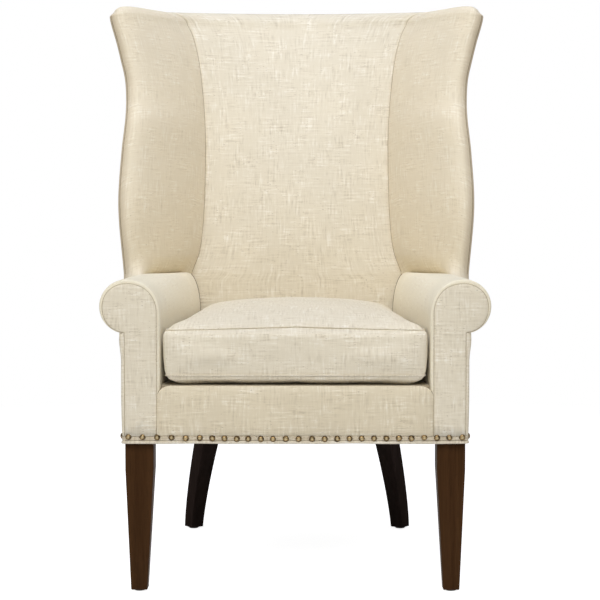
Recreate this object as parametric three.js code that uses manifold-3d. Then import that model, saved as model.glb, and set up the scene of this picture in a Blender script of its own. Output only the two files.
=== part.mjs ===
// A wingback armchair: stained legs, a timber frame with sinuous springs and webbing, padded covers,
// a base band of dome nails, and a loose seat cushion that lifts off its deck.
// Millimetres, x to the viewer's right, y from the front to the back, z up from the floor.
import * as THREE from "three";
import { mergeVertices } from "three/addons/utils/BufferGeometryUtils.js";
import Module from "manifold-3d";

const wasm = await Module();
wasm.setup();

// Gaps and layers
const CLEARANCE = 0.3;
const FRAME_GAP = 0.6;
const PAD_GAP = 1.5;
const OVERRUN = 2;
const FINEST_DETAIL = 0.05;
const PANEL_THICKNESS = 6;
const FRONT_PAD = 12.6;
const RAIL_THICKNESS = 25;
const BOARD_THICKNESS = 20;
const POST_THICKNESS = 30;

// Heights
const LEG_HEIGHT = 279;
const WELT_HEIGHT = 5.7;
const BAND_HEIGHT = 8.4;
const RAIL_HEIGHT = 81;
const DECK_THICKNESS = 18;
const BORDER_DROP = 2.6;
const ARM_TOP = 583;
const OVERALL_HEIGHT = 1160;
const TOP_ROUND = 32;

// Plan of the body
const BODY_HALF_WIDTH = 320;
const BACK_DEPTH = 145;
const REAR_LEAN = 100;
const REAR_BEND = 1.25;
const BACK_ROUNDNESS_SHARE = 0.6;
const WELT_CORNER = 4;
const WELT_PROUD = 0.8;

// Arms
const ROLL_RADIUS = 50;
const ROLL_INSET = 8.6;
const ARM_WIDTH_FRONT = 70;
const ARM_WIDTH_REAR = 112;
const SHOULDER_WIDTH_FRONT = 58;
const SHOULDER_WIDTH_REAR = 29;
const SHOULDER_HEIGHT_FRONT = 62;
const SHOULDER_HEIGHT_REAR = 85;
const ARM_EDGE = 6;
const ARM_PAD = 26;
const ARM_FRONT_ROUND = 3;
const ARM_RAIL_WIDTH = 34;
const ARM_RAIL_HEIGHT = 28;
const STUMP_THICKNESS = 22;

// Inside back
const SEAT_DEPTH = 545;
const SEAM_INSET = 8;
const SEAM_LEAN = 110;
const BACK_DISH = 62;
const BACK_FULLNESS = 12;
const BACK_PAD = 58;

// Wings
const WING_OVERHANG = 73;
const WING_DEPTH = 165;
const WING_SWEEP = 110;
const WING_SPLAY = THREE.MathUtils.degToRad(28);
const WING_THICKNESS = 46;
const WING_FULLNESS = 7;
const WING_EDGE_ROUND = 16;
const EAR_ROUND_share = 0.78;
const FLARE_HEIGHT = 77;

// Legs and glides
const FRONT_LEG_TOP = 55;
const FRONT_LEG_FOOT = 31.5;
const FRONT_LEG_TAPER_HEIGHT = 230;
const FRONT_LEG_SPLAY = 5.7;
const BACK_LEG_TOP = 40;
const BACK_LEG_FOOT = 30;
const BACK_LEG_TAPER_HEIGHT = 197;
const BACK_LEG_SWEEP = 82;
const BACK_LEG_SABRE = 1.35;
const BACK_LEG_SETBACK = 3;
const GLIDE_RADIUS = 11;
const GLIDE_RIM = 1.5;
const GLIDE_HEIGHT = 3;

// Cushion
const CUSHION_THICKNESS = 98;
const CUSHION_CROWN = 48;
const CUSHION_GAP = 3;
const CUSHION_BACK_GAP = 5;
const CUSHION_NOSE = 7;
const CUSHION_DRAW = 5;

// Nails
const NAIL_RADIUS = 5.5;
const NAIL_DOME = 3.2;
const NAIL_SHANK = 1;
const NAIL_LIFT = 0.45;
const NAIL_PITCH = 23.8;
const NAIL_SIDES = 6;

// Springs, webbing, dust cover and blocks
const SPRING_WIRE = 3.8;
const SPRING_COUNT = 4;
const SPRING_INSET = 70;
const SPRING_SWING = 20;
const SPRING_WAVES = 6;
const SPRING_SIDES = 5;
const SPRING_STEPS_PER_WAVE = 6;
const WEB_WIDTH = 50;
const WEB_THICKNESS = 2;
const WEB_COUNT = 3;
const WEB_GAP = 0.8;
const DUST_COVER = 1.2;
const BLOCK_HEIGHT = 40;
const BLOCK_REACH = 62;
const TUCK_RAIL_HEIGHT = 50;
const TOP_RAIL_HEIGHT = 65;
const BORDER_CORNER = 14;

// Widths and depths worked out from the plan
const BODY_DEPTH = SEAT_DEPTH + BACK_DEPTH;
const ROLL_LENGTH = SEAT_DEPTH - WING_DEPTH;
const ARM_INNER_FRONT = BODY_HALF_WIDTH - ARM_WIDTH_FRONT;
const ARM_INNER_REAR = BODY_HALF_WIDTH - ARM_WIDTH_REAR;
const SEAM_HALF_WIDTH = ARM_INNER_REAR - SEAM_INSET;
const WING_HALF_WIDTH = BODY_HALF_WIDTH + WING_OVERHANG;
const DECK_INSET = ARM_WIDTH_FRONT - ARM_PAD + OVERRUN;

// Levels worked out from the heights
const RAIL_BOTTOM = LEG_HEIGHT + WELT_HEIGHT;
const RAIL_TOP = RAIL_BOTTOM + RAIL_HEIGHT;
const BAND_BOTTOM = LEG_HEIGHT + WELT_HEIGHT + CLEARANCE;
const BAND_TOP = BAND_BOTTOM + BAND_HEIGHT;
const PANEL_BOTTOM = BAND_TOP + CLEARANCE;
const DECK_BOTTOM = RAIL_TOP + SPRING_WIRE + 2 * CLEARANCE;
const DECK_TOP = DECK_BOTTOM + DECK_THICKNESS;
const PAD_BOTTOM = DECK_TOP + CLEARANCE;
const ARM_LINE = ARM_TOP - 2 * ROLL_RADIUS;
const ROLL_HEIGHT = ARM_TOP - ROLL_RADIUS;
const ROLL_CENTRE = BODY_HALF_WIDTH - ROLL_INSET;
const ROUND_BOTTOM = OVERALL_HEIGHT - TOP_ROUND;
const FRAME_TOP = ROUND_BOTTOM - CLEARANCE;
const FRAME_DEPTH = PANEL_THICKNESS + FRAME_GAP;
const FRAME_FRONT = FRONT_PAD + CLEARANCE;
const PAD_BEHIND_BOARD = FRAME_DEPTH + BOARD_THICKNESS + PAD_GAP;
const WING_FRONT = ROLL_LENGTH + CLEARANCE + PAD_BEHIND_BOARD * Math.sin(WING_SPLAY);
const PAD_BEHIND_POST = FRAME_DEPTH + POST_THICKNESS + WEB_THICKNESS + 2 * WEB_GAP;

// Places round the plan, as shares: 0 at the middle of the back, 1 at the wing edge, 2 at the front
const CORNER_share = 0.42;
const SEAM_share = 0.45;
const POST_START_share = 0.385;
const POST_END_share = 0.455;
const BOARD_END_share = 0.975;
const PANEL_END_share = 0.9985;
const BLOCK_share = 0.09;
const SLIT_share = 0.001;
const PLACE_STEPS = 12;

// The wing edge, and the seam between back and wing: shares of the height above the arms, then of
// the width, the sweep, the dish or the fullness
const wingWidthShares = [
  [0, 0.9], [0.24, 0.926], [0.44, 0.918], [0.56, 0.904], [0.63, 0.905], [0.71, 0.915],
  [0.78, 0.939], [0.85, 0.965], [0.905, 0.989], [0.94, 1], [1, 1],
];
const wingSweepShares = [
  [0, 0], [0.24, -0.05], [0.44, 0.26], [0.56, 0.48], [0.63, 0.7], [0.71, 0.84], [0.85, 0.95], [1, 1],
];
const seamWidthShares = [
  [0, 1.13], [0.08, 1.05], [0.22, 1.01], [0.46, 0.997], [0.61, 1.015],
  [0.76, 1.06], [0.84, 1.1], [0.91, 1.155], [0.96, 1.22], [1, 1.3],
];
const dishShares = [[0, 0], [0.3, 0.06], [0.6, 0.36], [1, 1]];
const fullnessShares = [[0, 0], [0.12, 0.7], [0.4, 1], [0.8, 0.6], [1, 0]];

const clampShare = (value) => THREE.MathUtils.clamp(value, 0, 1);
const mix = THREE.MathUtils.lerp;
const space = (count) => Array.from({ length: count + 1 }, (_, i) => i / count);
const spread = (from, to, count) => space(count).map((share) => mix(from, to, share));

// A smooth curve through pairs of shares.
function follow(pairs, at) {
  const last = pairs.length - 1;
  let i = pairs.findIndex(([start]) => start > at) - 1;
  if (i < 0) i = at <= pairs[0][0] ? 0 : last - 1;
  const slope = (j) => {
    const a = pairs[Math.max(j - 1, 0)];
    const b = pairs[Math.min(j + 1, last)];
    return (b[1] - a[1]) / (b[0] - a[0]);
  };
  const [start, low] = pairs[i];
  const [end, high] = pairs[i + 1];
  const run = end - start;
  const t = clampShare((at - start) / run);
  const t2 = t * t;
  const t3 = t2 * t;
  return (
    low * (2 * t3 - 3 * t2 + 1) +
    high * (3 * t2 - 2 * t3) +
    run * (slope(i) * (t3 - 2 * t2 + t) + slope(i + 1) * (t3 - t2))
  );
}

// Plan of the outside covers
const aboveArms = (z) => (z - ARM_TOP) / (OVERALL_HEIGHT - ARM_TOP);

function rearAt(z) {
  const climb = clampShare((z - RAIL_TOP) / (OVERALL_HEIGHT - RAIL_TOP));
  return BODY_DEPTH + REAR_LEAN * Math.pow(climb, REAR_BEND);
}

function wingEdge(z) {
  const share = clampShare(aboveArms(z));
  const flare = THREE.MathUtils.smoothstep(z, ARM_LINE, ARM_LINE + FLARE_HEIGHT);
  const wide = WING_HALF_WIDTH * follow(wingWidthShares, share);
  return {
    x: mix(BODY_HALF_WIDTH, wide, flare),
    y: WING_FRONT + WING_SWEEP * follow(wingSweepShares, share),
    splay: WING_SPLAY * flare,
  };
}

// A point of the outside surface at a place round the plan, moved inwards by a depth.
function outer(place, z, depth = 0) {
  const side = Math.sign(place) || 1;
  const u = Math.abs(place);
  const edge = wingEdge(z);
  if (u > 1) return new THREE.Vector3(side * (edge.x - depth), edge.y * (2 - u), z);
  const rear = rearAt(z);
  const handle = BACK_ROUNDNESS_SHARE * (rear - edge.y);
  const x = [0, BACK_ROUNDNESS_SHARE * edge.x, edge.x - handle * Math.sin(edge.splay), edge.x];
  const y = [rear, rear, edge.y + handle * Math.cos(edge.splay), edge.y];
  const v = 1 - u;
  const bezier = (p) => v * v * v * p[0] + 3 * v * v * u * p[1] + 3 * v * u * u * p[2] + u * u * u * p[3];
  const pull = (p) => v * v * (p[1] - p[0]) + 2 * v * u * (p[2] - p[1]) + u * u * (p[3] - p[2]);
  const run = new THREE.Vector2(pull(x), pull(y)).normalize();
  return new THREE.Vector3(side * (bezier(x) + run.y * depth), bezier(y) - run.x * depth, z);
}

function outwardAt(place, z) {
  return outer(place, z).sub(outer(place, z, 1));
}

// Every layer of the wall is built on the same facets, so that the layers nest
const levels = [
  LEG_HEIGHT,
  RAIL_TOP,
  ...spread(RAIL_TOP, ARM_LINE, 2).slice(1),
  ...spread(ARM_LINE, ARM_LINE + FLARE_HEIGHT, 5).slice(1),
  ...spread(ARM_TOP, ROUND_BOTTOM, 8),
];
const places = spread(-1, 1, 2 * PLACE_STEPS);

function bracket(lattice, value) {
  const found = lattice.findIndex((entry) => entry >= value);
  const next = found < 0 ? lattice.length - 1 : Math.max(found, 1);
  const [from, to] = [lattice[next - 1], lattice[next]];
  return [from, to, (value - from) / (to - from)];
}

function between(lattice, from, to) {
  const near = (Math.abs(lattice[1] - lattice[0]) * CLEARANCE) / PANEL_THICKNESS;
  return [from, ...lattice.filter((entry) => entry > from + near && entry < to - near), to];
}

function skin(place, z, depth = 0) {
  if (Math.abs(place) > 1) return outer(place, z, depth);
  const [low, high, rise] = bracket(levels, z);
  const [from, to, run] = bracket(places, place);
  const below = outer(from, low, depth).lerp(outer(to, low, depth), run);
  return below.lerp(outer(from, high, depth).lerp(outer(to, high, depth), run), rise);
}

// Inside surfaces
function seam(z) {
  const share = clampShare(aboveArms(z));
  return new THREE.Vector3(
    SEAM_HALF_WIDTH * follow(seamWidthShares, share),
    SEAT_DEPTH + SEAM_LEAN * share,
    z,
  );
}

function insideBack(across, z) {
  const share = clampShare(aboveArms(z));
  const edge = seam(z);
  const inward = 1 - across * across;
  const y = edge.y + BACK_DISH * follow(dishShares, share) * inward;
  return new THREE.Vector3(edge.x * across, y - BACK_FULLNESS * follow(fullnessShares, share) * inward, z);
}

function insideWing(along, z) {
  const edge = wingEdge(z);
  const out = new THREE.Vector3(Math.cos(edge.splay), Math.sin(edge.splay), 0);
  const front = new THREE.Vector3(edge.x, edge.y, z).addScaledVector(out, -WING_THICKNESS);
  const spot = seam(z).lerp(front, along);
  return spot.addScaledVector(out, -WING_FULLNESS * Math.sin(Math.PI * along));
}

// Closed solids
function closed(points, faces) {
  const volume = faces.reduce(
    (sum, [a, b, c]) => sum + points[a].dot(new THREE.Vector3().crossVectors(points[b], points[c])),
    0,
  );
  const turned = faces.map(([a, b, c]) => (volume < 0 ? [a, c, b] : [a, b, c]));
  const geometry = new THREE.BufferGeometry().setFromPoints(points);
  geometry.setIndex(turned.flat());
  geometry.computeVertexNormals();
  return geometry;
}

// The solid between two grids of points with the same rows and columns. Its facets mirror about the
// middle column where the piece is the same on both sides.
function slab(front, back, bothSides = false) {
  const rows = front.length;
  const columns = front[0].length;
  const points = [...front.flat(), ...back.flat()];
  const at = (side, row, column) => (side * rows + row) * columns + column;
  const faces = [];
  const quad = (a, b, c, d) => faces.push([a, b, c], [a, c, d]);
  for (let r = 0; r < rows - 1; r++) {
    for (let c = 0; c < columns - 1; c++) {
      const turned = bothSides && c < (columns - 1) / 2;
      const nearFace = [at(0, r, c), at(0, r, c + 1), at(0, r + 1, c + 1), at(0, r + 1, c)];
      const farFace = [at(1, r, c), at(1, r + 1, c), at(1, r + 1, c + 1), at(1, r, c + 1)];
      for (const [a, b, d, e] of [nearFace, farFace]) turned ? quad(b, d, e, a) : quad(a, b, d, e);
    }
    quad(at(0, r, 0), at(0, r + 1, 0), at(1, r + 1, 0), at(1, r, 0));
    const c = columns - 1;
    quad(at(0, r, c), at(1, r, c), at(1, r + 1, c), at(0, r + 1, c));
  }
  for (let c = 0; c < columns - 1; c++) {
    quad(at(0, 0, c + 1), at(0, 0, c), at(1, 0, c), at(1, 0, c + 1));
    const r = rows - 1;
    quad(at(0, r, c), at(0, r, c + 1), at(1, r, c + 1), at(1, r, c));
  }
  return closed(points, faces);
}

// The solid through rings of points, with flat ends, or closed on itself where it is a loop.
function loft(rings, flatten, loop = false) {
  const size = rings[0].length;
  const faces = [];
  const spans = loop ? rings.length : rings.length - 1;
  for (let i = 0; i < spans; i++) {
    const next = (i + 1) % rings.length;
    for (let j = 0; j < size; j++) {
      const k = (j + 1) % size;
      const [a, b, c, d] = [i * size + j, i * size + k, next * size + k, next * size + j];
      faces.push([a, b, c], [a, c, d]);
    }
  }
  if (!loop) {
    for (const end of [0, rings.length - 1]) {
      const outline = rings[end].map(flatten);
      const ringTurn = Math.sign(THREE.ShapeUtils.area(outline));
      for (const face of THREE.ShapeUtils.triangulateShape(outline, [])) {
        const turn = Math.sign(THREE.ShapeUtils.area(face.map((i) => outline[i])));
        const ordered = turn === ringTurn ? face : [face[0], face[2], face[1]];
        const [a, b, c] = ordered.map((i) => end * size + i);
        faces.push(end === 0 ? [a, c, b] : [a, b, c]);
      }
    }
  }
  return closed(rings.flat(), faces);
}

const fromFront = (p) => new THREE.Vector2(p.x, p.z);
const fromAbove = (p) => new THREE.Vector2(p.x, p.y);

// A layer of the outside wall, from one place and level to another, between two depths.
function wall([fromPlace, toPlace], [bottom, top], outerDepth, innerDepth) {
  const bothSides = fromPlace === -toPlace;
  const curved = between(places, fromPlace, Math.min(toPlace, 1));
  const across = toPlace > 1 ? [...curved, toPlace] : curved;
  const grid = (depth) => between(levels, bottom, top).map((z) => across.map((p) => skin(p, z, depth)));
  return slab(grid(outerDepth), grid(innerDepth), bothSides);
}

function bareMesh(geometry) {
  const bare = geometry.clone();
  bare.deleteAttribute("normal");
  bare.deleteAttribute("uv");
  return mergeVertices(bare);
}

function solidOf(geometry) {
  const merged = bareMesh(geometry);
  return new wasm.Manifold(
    new wasm.Mesh({
      numProp: 3,
      vertProperties: merged.attributes.position.array,
      triVerts: new Uint32Array(merged.index.array),
    }),
  );
}

function geometryOf(solid) {
  const made = solid.simplify(FINEST_DETAIL).getMesh();
  const geometry = new THREE.BufferGeometry();
  geometry.setAttribute("position", new THREE.BufferAttribute(made.vertProperties, 3));
  geometry.setIndex(new THREE.BufferAttribute(made.triVerts, 1));
  geometry.computeVertexNormals();
  return geometry;
}

const joined = (first, ...others) =>
  geometryOf(others.reduce((sum, other) => sum.add(solidOf(other)), solidOf(first)));
const cut = (first, ...tools) =>
  geometryOf(tools.reduce((left, tool) => left.subtract(solidOf(tool)), solidOf(first)));

// A flat plate standing in the front plane: an outline of x and z, thickened towards the back.
function uprightPlate(outline, front, thickness) {
  const shape = new THREE.Shape(outline.map(([x, z]) => new THREE.Vector2(x, z)));
  const plate = new THREE.ExtrudeGeometry(shape, { depth: thickness, bevelEnabled: false });
  return plate.rotateX(Math.PI / 2).translate(0, front + thickness, 0);
}

function levelPlate(outline, bottom, thickness) {
  const shape = new THREE.Shape(outline.map((p) => new THREE.Vector2(p.x, p.y)));
  const plate = new THREE.ExtrudeGeometry(shape, { depth: thickness, bevelEnabled: false });
  return plate.translate(0, 0, bottom);
}

function block(xFrom, xTo, yFrom, yTo, zFrom, zTo) {
  const box = new THREE.BoxGeometry(xTo - xFrom, yTo - yFrom, zTo - zFrom);
  return box.translate((xFrom + xTo) / 2, (yFrom + yTo) / 2, (zFrom + zTo) / 2);
}

// Finishes
const finish = (color, roughness, metalness = 0) =>
  new THREE.MeshStandardMaterial({ color, roughness, metalness });
const linen = finish(0xded4be, 0.92);
const stainedWood = finish(0x3a2418, 0.38);
const frameWood = finish(0xb58a55, 0.75);
const brass = finish(0x8a6a3c, 0.35, 1);
const steel = finish(0x8c8f92, 0.4, 1);
const webbing = finish(0x9a8462, 0.95);
const cambric = finish(0x171717, 0.95);
const glidePlastic = finish(0x2a2622, 0.5);

const chair = new THREE.Group();
const body = new THREE.Group();
const loose = new THREE.Group();
chair.add(body, loose);

function place(name, geometry, material, group = body) {
  const mesh = new THREE.Mesh(geometry, material);
  mesh.name = name;
  group.add(mesh);
  return mesh;
}

// The same piece on both sides of the chair.
function pair(name, geometry, material) {
  place(name + "_right", geometry, material);
  place(name + "_left", geometry, material).scale.x = -1;
}

// Front legs
const legOuter = BODY_HALF_WIDTH - FRAME_DEPTH - CLEARANCE;
const legCentre = { x: legOuter - FRONT_LEG_TOP / 2, y: FRAME_FRONT + FRONT_LEG_TOP / 2 };
const footCentre = { x: legCentre.x + FRONT_LEG_SPLAY, y: legCentre.y - FRONT_LEG_SPLAY };
const legInner = legOuter - FRONT_LEG_TOP;
const legBack = FRAME_FRONT + FRONT_LEG_TOP;

function squareRing(centre, size, z, turn = 0) {
  const half = size / 2;
  const corners = [[-half, -half], [half, -half], [half, half], [-half, half]];
  return corners.map(([x, y]) =>
    new THREE.Vector3(x, y, 0)
      .applyAxisAngle(new THREE.Vector3(0, 0, 1), turn)
      .add(new THREE.Vector3(centre.x, centre.y, z)),
  );
}

const legFoot = GLIDE_HEIGHT + CLEARANCE;
pair(
  "front_leg",
  loft(
    [
      squareRing(footCentre, FRONT_LEG_FOOT, legFoot),
      squareRing(legCentre, FRONT_LEG_TOP, FRONT_LEG_TAPER_HEIGHT),
      squareRing(legCentre, FRONT_LEG_TOP, RAIL_TOP),
    ],
    fromAbove,
  ),
  stainedWood,
);

// Back legs, set cornerwise and swept out along their own faces
const backLegOut = outwardAt(CORNER_share, LEG_HEIGHT);
const backLegTurn = Math.atan2(backLegOut.y, backLegOut.x);
const backLegDepth = FRAME_DEPTH + BACK_LEG_SETBACK;
const backLegCentre = outer(CORNER_share, LEG_HEIGHT, backLegDepth + BACK_LEG_TOP / 2);
const backLegLevels = 8;

function backLegAt(z) {
  const drop = clampShare(1 - z / LEG_HEIGHT);
  const sweep = BACK_LEG_SWEEP * (1 - Math.pow(1 - drop, BACK_LEG_SABRE));
  return backLegCentre.clone().addScaledVector(backLegOut, sweep);
}

function backLegRing(z) {
  const size = mix(BACK_LEG_FOOT, BACK_LEG_TOP, clampShare(z / BACK_LEG_TAPER_HEIGHT));
  return squareRing(backLegAt(z), size, z, backLegTurn);
}

pair(
  "back_leg",
  loft([...spread(legFoot, LEG_HEIGHT, backLegLevels), RAIL_TOP].map(backLegRing), fromAbove),
  stainedWood,
);

// The space that a back leg takes up in the frame, with its clearance
const grownLegRing = (z) => squareRing(backLegCentre, BACK_LEG_TOP + 2 * CLEARANCE, z, backLegTurn);
const grownBackLeg = loft([LEG_HEIGHT - OVERRUN, RAIL_TOP + OVERRUN].map(grownLegRing), fromAbove);
const mirrored = (geometry) => {
  const copy = geometry.clone().scale(-1, 1, 1);
  const order = Array.from(copy.index.array);
  for (let i = 0; i < order.length; i += 3) [order[i + 1], order[i + 2]] = [order[i + 2], order[i + 1]];
  return copy.setIndex(order);
};

// Glides
const glideProfile = [
  [0, 0],
  [GLIDE_RADIUS - GLIDE_RIM, 0],
  [GLIDE_RADIUS, GLIDE_RIM],
  [GLIDE_RADIUS, GLIDE_HEIGHT],
  [0, GLIDE_HEIGHT],
].map(([r, z]) => new THREE.Vector2(r, z));
const glideSides = 16;

function glideAt(centre) {
  const glide = new THREE.LatheGeometry(glideProfile, glideSides).rotateX(Math.PI / 2);
  return glide.translate(centre.x, centre.y, 0);
}

pair("glide_front", glideAt(footCentre), glidePlastic);
pair("glide_back", glideAt(backLegAt(0)), glidePlastic);

// Seat rails
const frontRailInner = FRAME_FRONT + RAIL_THICKNESS;
place(
  "front_rail",
  block(
    -legInner + CLEARANCE,
    legInner - CLEARANCE,
    FRAME_FRONT,
    frontRailInner,
    RAIL_BOTTOM,
    RAIL_TOP,
  ),
  frameWood,
);
const railLevels = [RAIL_BOTTOM, RAIL_TOP];
const railDepth = backLegDepth + OVERRUN;
const railInnerDepth = railDepth + RAIL_THICKNESS;
place(
  "back_rail",
  cut(
    wall([-CORNER_share, CORNER_share], railLevels, railDepth, railInnerDepth),
    grownBackLeg,
    mirrored(grownBackLeg),
  ),
  frameWood,
);
const behindLegPlace = 2 - (legBack + CLEARANCE) / WING_FRONT;
pair(
  "side_rail",
  cut(wall([CORNER_share, behindLegPlace], railLevels, railDepth, railInnerDepth), grownBackLeg),
  frameWood,
);

// Corner blocks
const sideRailInner = BODY_HALF_WIDTH - railInnerDepth;
const frontBlock = [
  { x: legInner - BLOCK_REACH, y: frontRailInner + CLEARANCE },
  { x: legInner - CLEARANCE, y: frontRailInner + CLEARANCE },
  { x: legInner - CLEARANCE, y: legBack + CLEARANCE },
  { x: sideRailInner - CLEARANCE, y: legBack + CLEARANCE },
  { x: sideRailInner - CLEARANCE, y: legBack + BLOCK_REACH },
];
pair("corner_block_front", levelPlate(frontBlock, RAIL_BOTTOM + WELT_HEIGHT, BLOCK_HEIGHT), frameWood);

const blockDepth = backLegDepth + BACK_LEG_TOP + RAIL_THICKNESS / 2;
const blockPlaces = [CORNER_share - BLOCK_share, CORNER_share + BLOCK_share];
const blockLevels = [RAIL_BOTTOM + WELT_HEIGHT, RAIL_BOTTOM + WELT_HEIGHT + BLOCK_HEIGHT];
pair(
  "corner_block_back",
  cut(wall(blockPlaces, blockLevels, railInnerDepth + CLEARANCE, blockDepth), grownBackLeg),
  frameWood,
);

// Back frame
const postPlaces = [POST_START_share, POST_END_share];
const postLevels = [RAIL_TOP + CLEARANCE, FRAME_TOP];
pair("back_post", wall(postPlaces, postLevels, FRAME_DEPTH, FRAME_DEPTH + POST_THICKNESS), frameWood);
const betweenPosts = POST_START_share - SLIT_share;
const backRailsPlaces = [-betweenPosts, betweenPosts];
place(
  "back_top_rail",
  wall(backRailsPlaces, [FRAME_TOP - TOP_RAIL_HEIGHT, FRAME_TOP], FRAME_DEPTH, railInnerDepth),
  frameWood,
);
const tuckRailBottom = PAD_BOTTOM + TUCK_RAIL_HEIGHT;
place(
  "back_tuck_rail",
  wall(backRailsPlaces, [tuckRailBottom, tuckRailBottom + TUCK_RAIL_HEIGHT], FRAME_DEPTH, railInnerDepth),
  frameWood,
);

// Wing boards
const boardDepth = FRAME_DEPTH + BOARD_THICKNESS;
const boardPlaces = [POST_END_share + SLIT_share, BOARD_END_share];
pair("wing_board", wall(boardPlaces, [ARM_LINE + OVERRUN, FRAME_TOP], FRAME_DEPTH, boardDepth), frameWood);

// Section of an arm at a distance from the front, drawn in by a depth
const armRun = (y) => clampShare(y / SEAT_DEPTH);
const armInner = (y) => mix(ARM_INNER_FRONT, ARM_INNER_REAR, armRun(y));

function shoulderPoints(y, depth) {
  const width = mix(SHOULDER_WIDTH_FRONT, SHOULDER_WIDTH_REAR, armRun(y));
  const height = mix(SHOULDER_HEIGHT_FRONT, SHOULDER_HEIGHT_REAR, armRun(y));
  const centre = { x: armInner(y) + width, z: ARM_TOP - height };
  const arc = spread(Math.PI, Math.PI / 2, 4).map((angle) => [
    centre.x + (width - depth) * Math.cos(angle),
    centre.z + (height - depth) * Math.sin(angle),
  ]);
  const face = armInner(y) + depth;
  return [[face, PAD_BOTTOM], [face, (PAD_BOTTOM + centre.z) / 2], ...arc];
}

const rollEnd = THREE.MathUtils.degToRad(-80);

function rollPoints(depth) {
  const radius = ROLL_RADIUS - depth;
  return spread(Math.PI / 2, rollEnd, 8).map((angle) => [
    ROLL_CENTRE + radius * Math.cos(angle),
    ROLL_HEIGHT + radius * Math.sin(angle),
  ]);
}

function hookRing(y, outerDepth, innerDepth) {
  const line = (depth) => [...shoulderPoints(y, depth), ...rollPoints(depth)];
  const outline = [...line(outerDepth), ...line(innerDepth).reverse()];
  return outline.map(([x, z]) => new THREE.Vector3(x, y, z));
}

// The arm behind the roll: its inner wall and its top as far as the wing board.
function rearArmRing(y) {
  const run = clampShare((y - ROLL_LENGTH) / (SEAT_DEPTH - ROLL_LENGTH));
  const limit = mix(ROLL_CENTRE - ROLL_INSET, ARM_INNER_REAR + SHOULDER_WIDTH_REAR + OVERRUN, run);
  const outline = [
    ...shoulderPoints(y, 0),
    [limit, ARM_TOP],
    [limit, ARM_TOP - ARM_PAD],
    ...shoulderPoints(y, ARM_PAD).reverse(),
  ];
  return outline.map(([x, z]) => new THREE.Vector3(x, y, z));
}

const facingDepth = ARM_EDGE - CLEARANCE;
const armRear = SEAT_DEPTH - 2 * CLEARANCE;
const armFront = loft(
  [
    hookRing(ARM_FRONT_ROUND, ARM_FRONT_ROUND / 2, facingDepth),
    hookRing(2 * ARM_FRONT_ROUND, 0, facingDepth),
    hookRing(FRONT_PAD, 0, facingDepth),
    hookRing(FRAME_FRONT, 0, ARM_PAD),
    ...spread(FRAME_FRONT, ROLL_LENGTH, 4).slice(1).map((y) => hookRing(y, 0, ARM_PAD)),
  ],
  fromFront,
);
const armBack = loft(spread(ROLL_LENGTH - OVERRUN, armRear, 3).map(rearArmRing), fromFront);
pair("inside_arm", joined(armFront, armBack), linen);

// Arm facings and stumps share the outline of the arm's section
function scrollOutline(depth, bottom) {
  const outside = BODY_HALF_WIDTH - FRAME_DEPTH;
  const drop = Math.sqrt((ROLL_RADIUS - depth) ** 2 - (outside - ROLL_CENTRE) ** 2);
  const [, ...shoulder] = shoulderPoints(0, depth);
  const face = ARM_INNER_FRONT + depth;
  const roll = rollPoints(depth).filter(([x, z]) => x > outside || z > ROLL_HEIGHT);
  return [[face, bottom], ...shoulder, ...roll, [outside, ROLL_HEIGHT - drop], [outside, bottom]];
}

pair("arm_facing", uprightPlate(scrollOutline(ARM_EDGE, PANEL_BOTTOM), 0, FRONT_PAD), linen);
pair(
  "arm_stump",
  uprightPlate(scrollOutline(ARM_PAD + CLEARANCE, RAIL_TOP + CLEARANCE), FRAME_FRONT, STUMP_THICKNESS),
  frameWood,
);

// Arm rails, from the stump to the inner face of the wing board
const stumpBack = FRAME_FRONT + STUMP_THICKNESS + CLEARANCE;
const armRailLevels = [ROLL_HEIGHT - ARM_RAIL_HEIGHT / 2, ROLL_HEIGHT + ARM_RAIL_HEIGHT / 2];
const armRailEnd_share = 0.8;

function armRailGrid(inward) {
  return armRailLevels.map((z) => {
    const start = new THREE.Vector3(ROLL_CENTRE + ARM_RAIL_WIDTH / 2 - inward, stumpBack, z);
    const end = outer(armRailEnd_share, z, boardDepth + FRAME_GAP);
    end.x -= inward;
    return [start, end];
  });
}

pair("arm_rail", slab(armRailGrid(0), armRailGrid(ARM_RAIL_WIDTH)), frameWood);

// Deck, springs, webbing and dust cover
function planOutline(depth, front) {
  const straight = [front, WING_FRONT].map((y) => ({ x: BODY_HALF_WIDTH - depth, y }));
  const half = [...straight, ...spread(1, 0, 10).slice(1).map((u) => outer(u, RAIL_BOTTOM, depth))];
  const other = half.slice(0, -1).reverse().map((p) => ({ x: -p.x, y: p.y }));
  return [...half, ...other];
}

place("deck_pad", levelPlate(planOutline(DECK_INSET, FRAME_FRONT), DECK_BOTTOM, DECK_THICKNESS), webbing);

// How far back the middle of the back rail lies at a distance from the chair's centre.
function backRailAt(x) {
  let [near, far] = [0, CORNER_share];
  for (let i = 0; i < 24; i++) {
    const middle = (near + far) / 2;
    if (outer(middle, RAIL_TOP, railDepth + RAIL_THICKNESS / 2).x < Math.abs(x)) near = middle;
    else far = middle;
  }
  return outer(near, RAIL_TOP, railDepth + RAIL_THICKNESS / 2).y;
}

class SpringLine extends THREE.Curve {
  constructor(x) {
    super();
    this.x = x;
  }
  getPoint(t) {
    const swing = SPRING_SWING * Math.sin(2 * Math.PI * SPRING_WAVES * t);
    const from = FRAME_FRONT + RAIL_THICKNESS / 2;
    const to = backRailAt(this.x);
    return new THREE.Vector3(this.x + swing, mix(from, to, t), RAIL_TOP + CLEARANCE + SPRING_WIRE / 2);
  }
}

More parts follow.
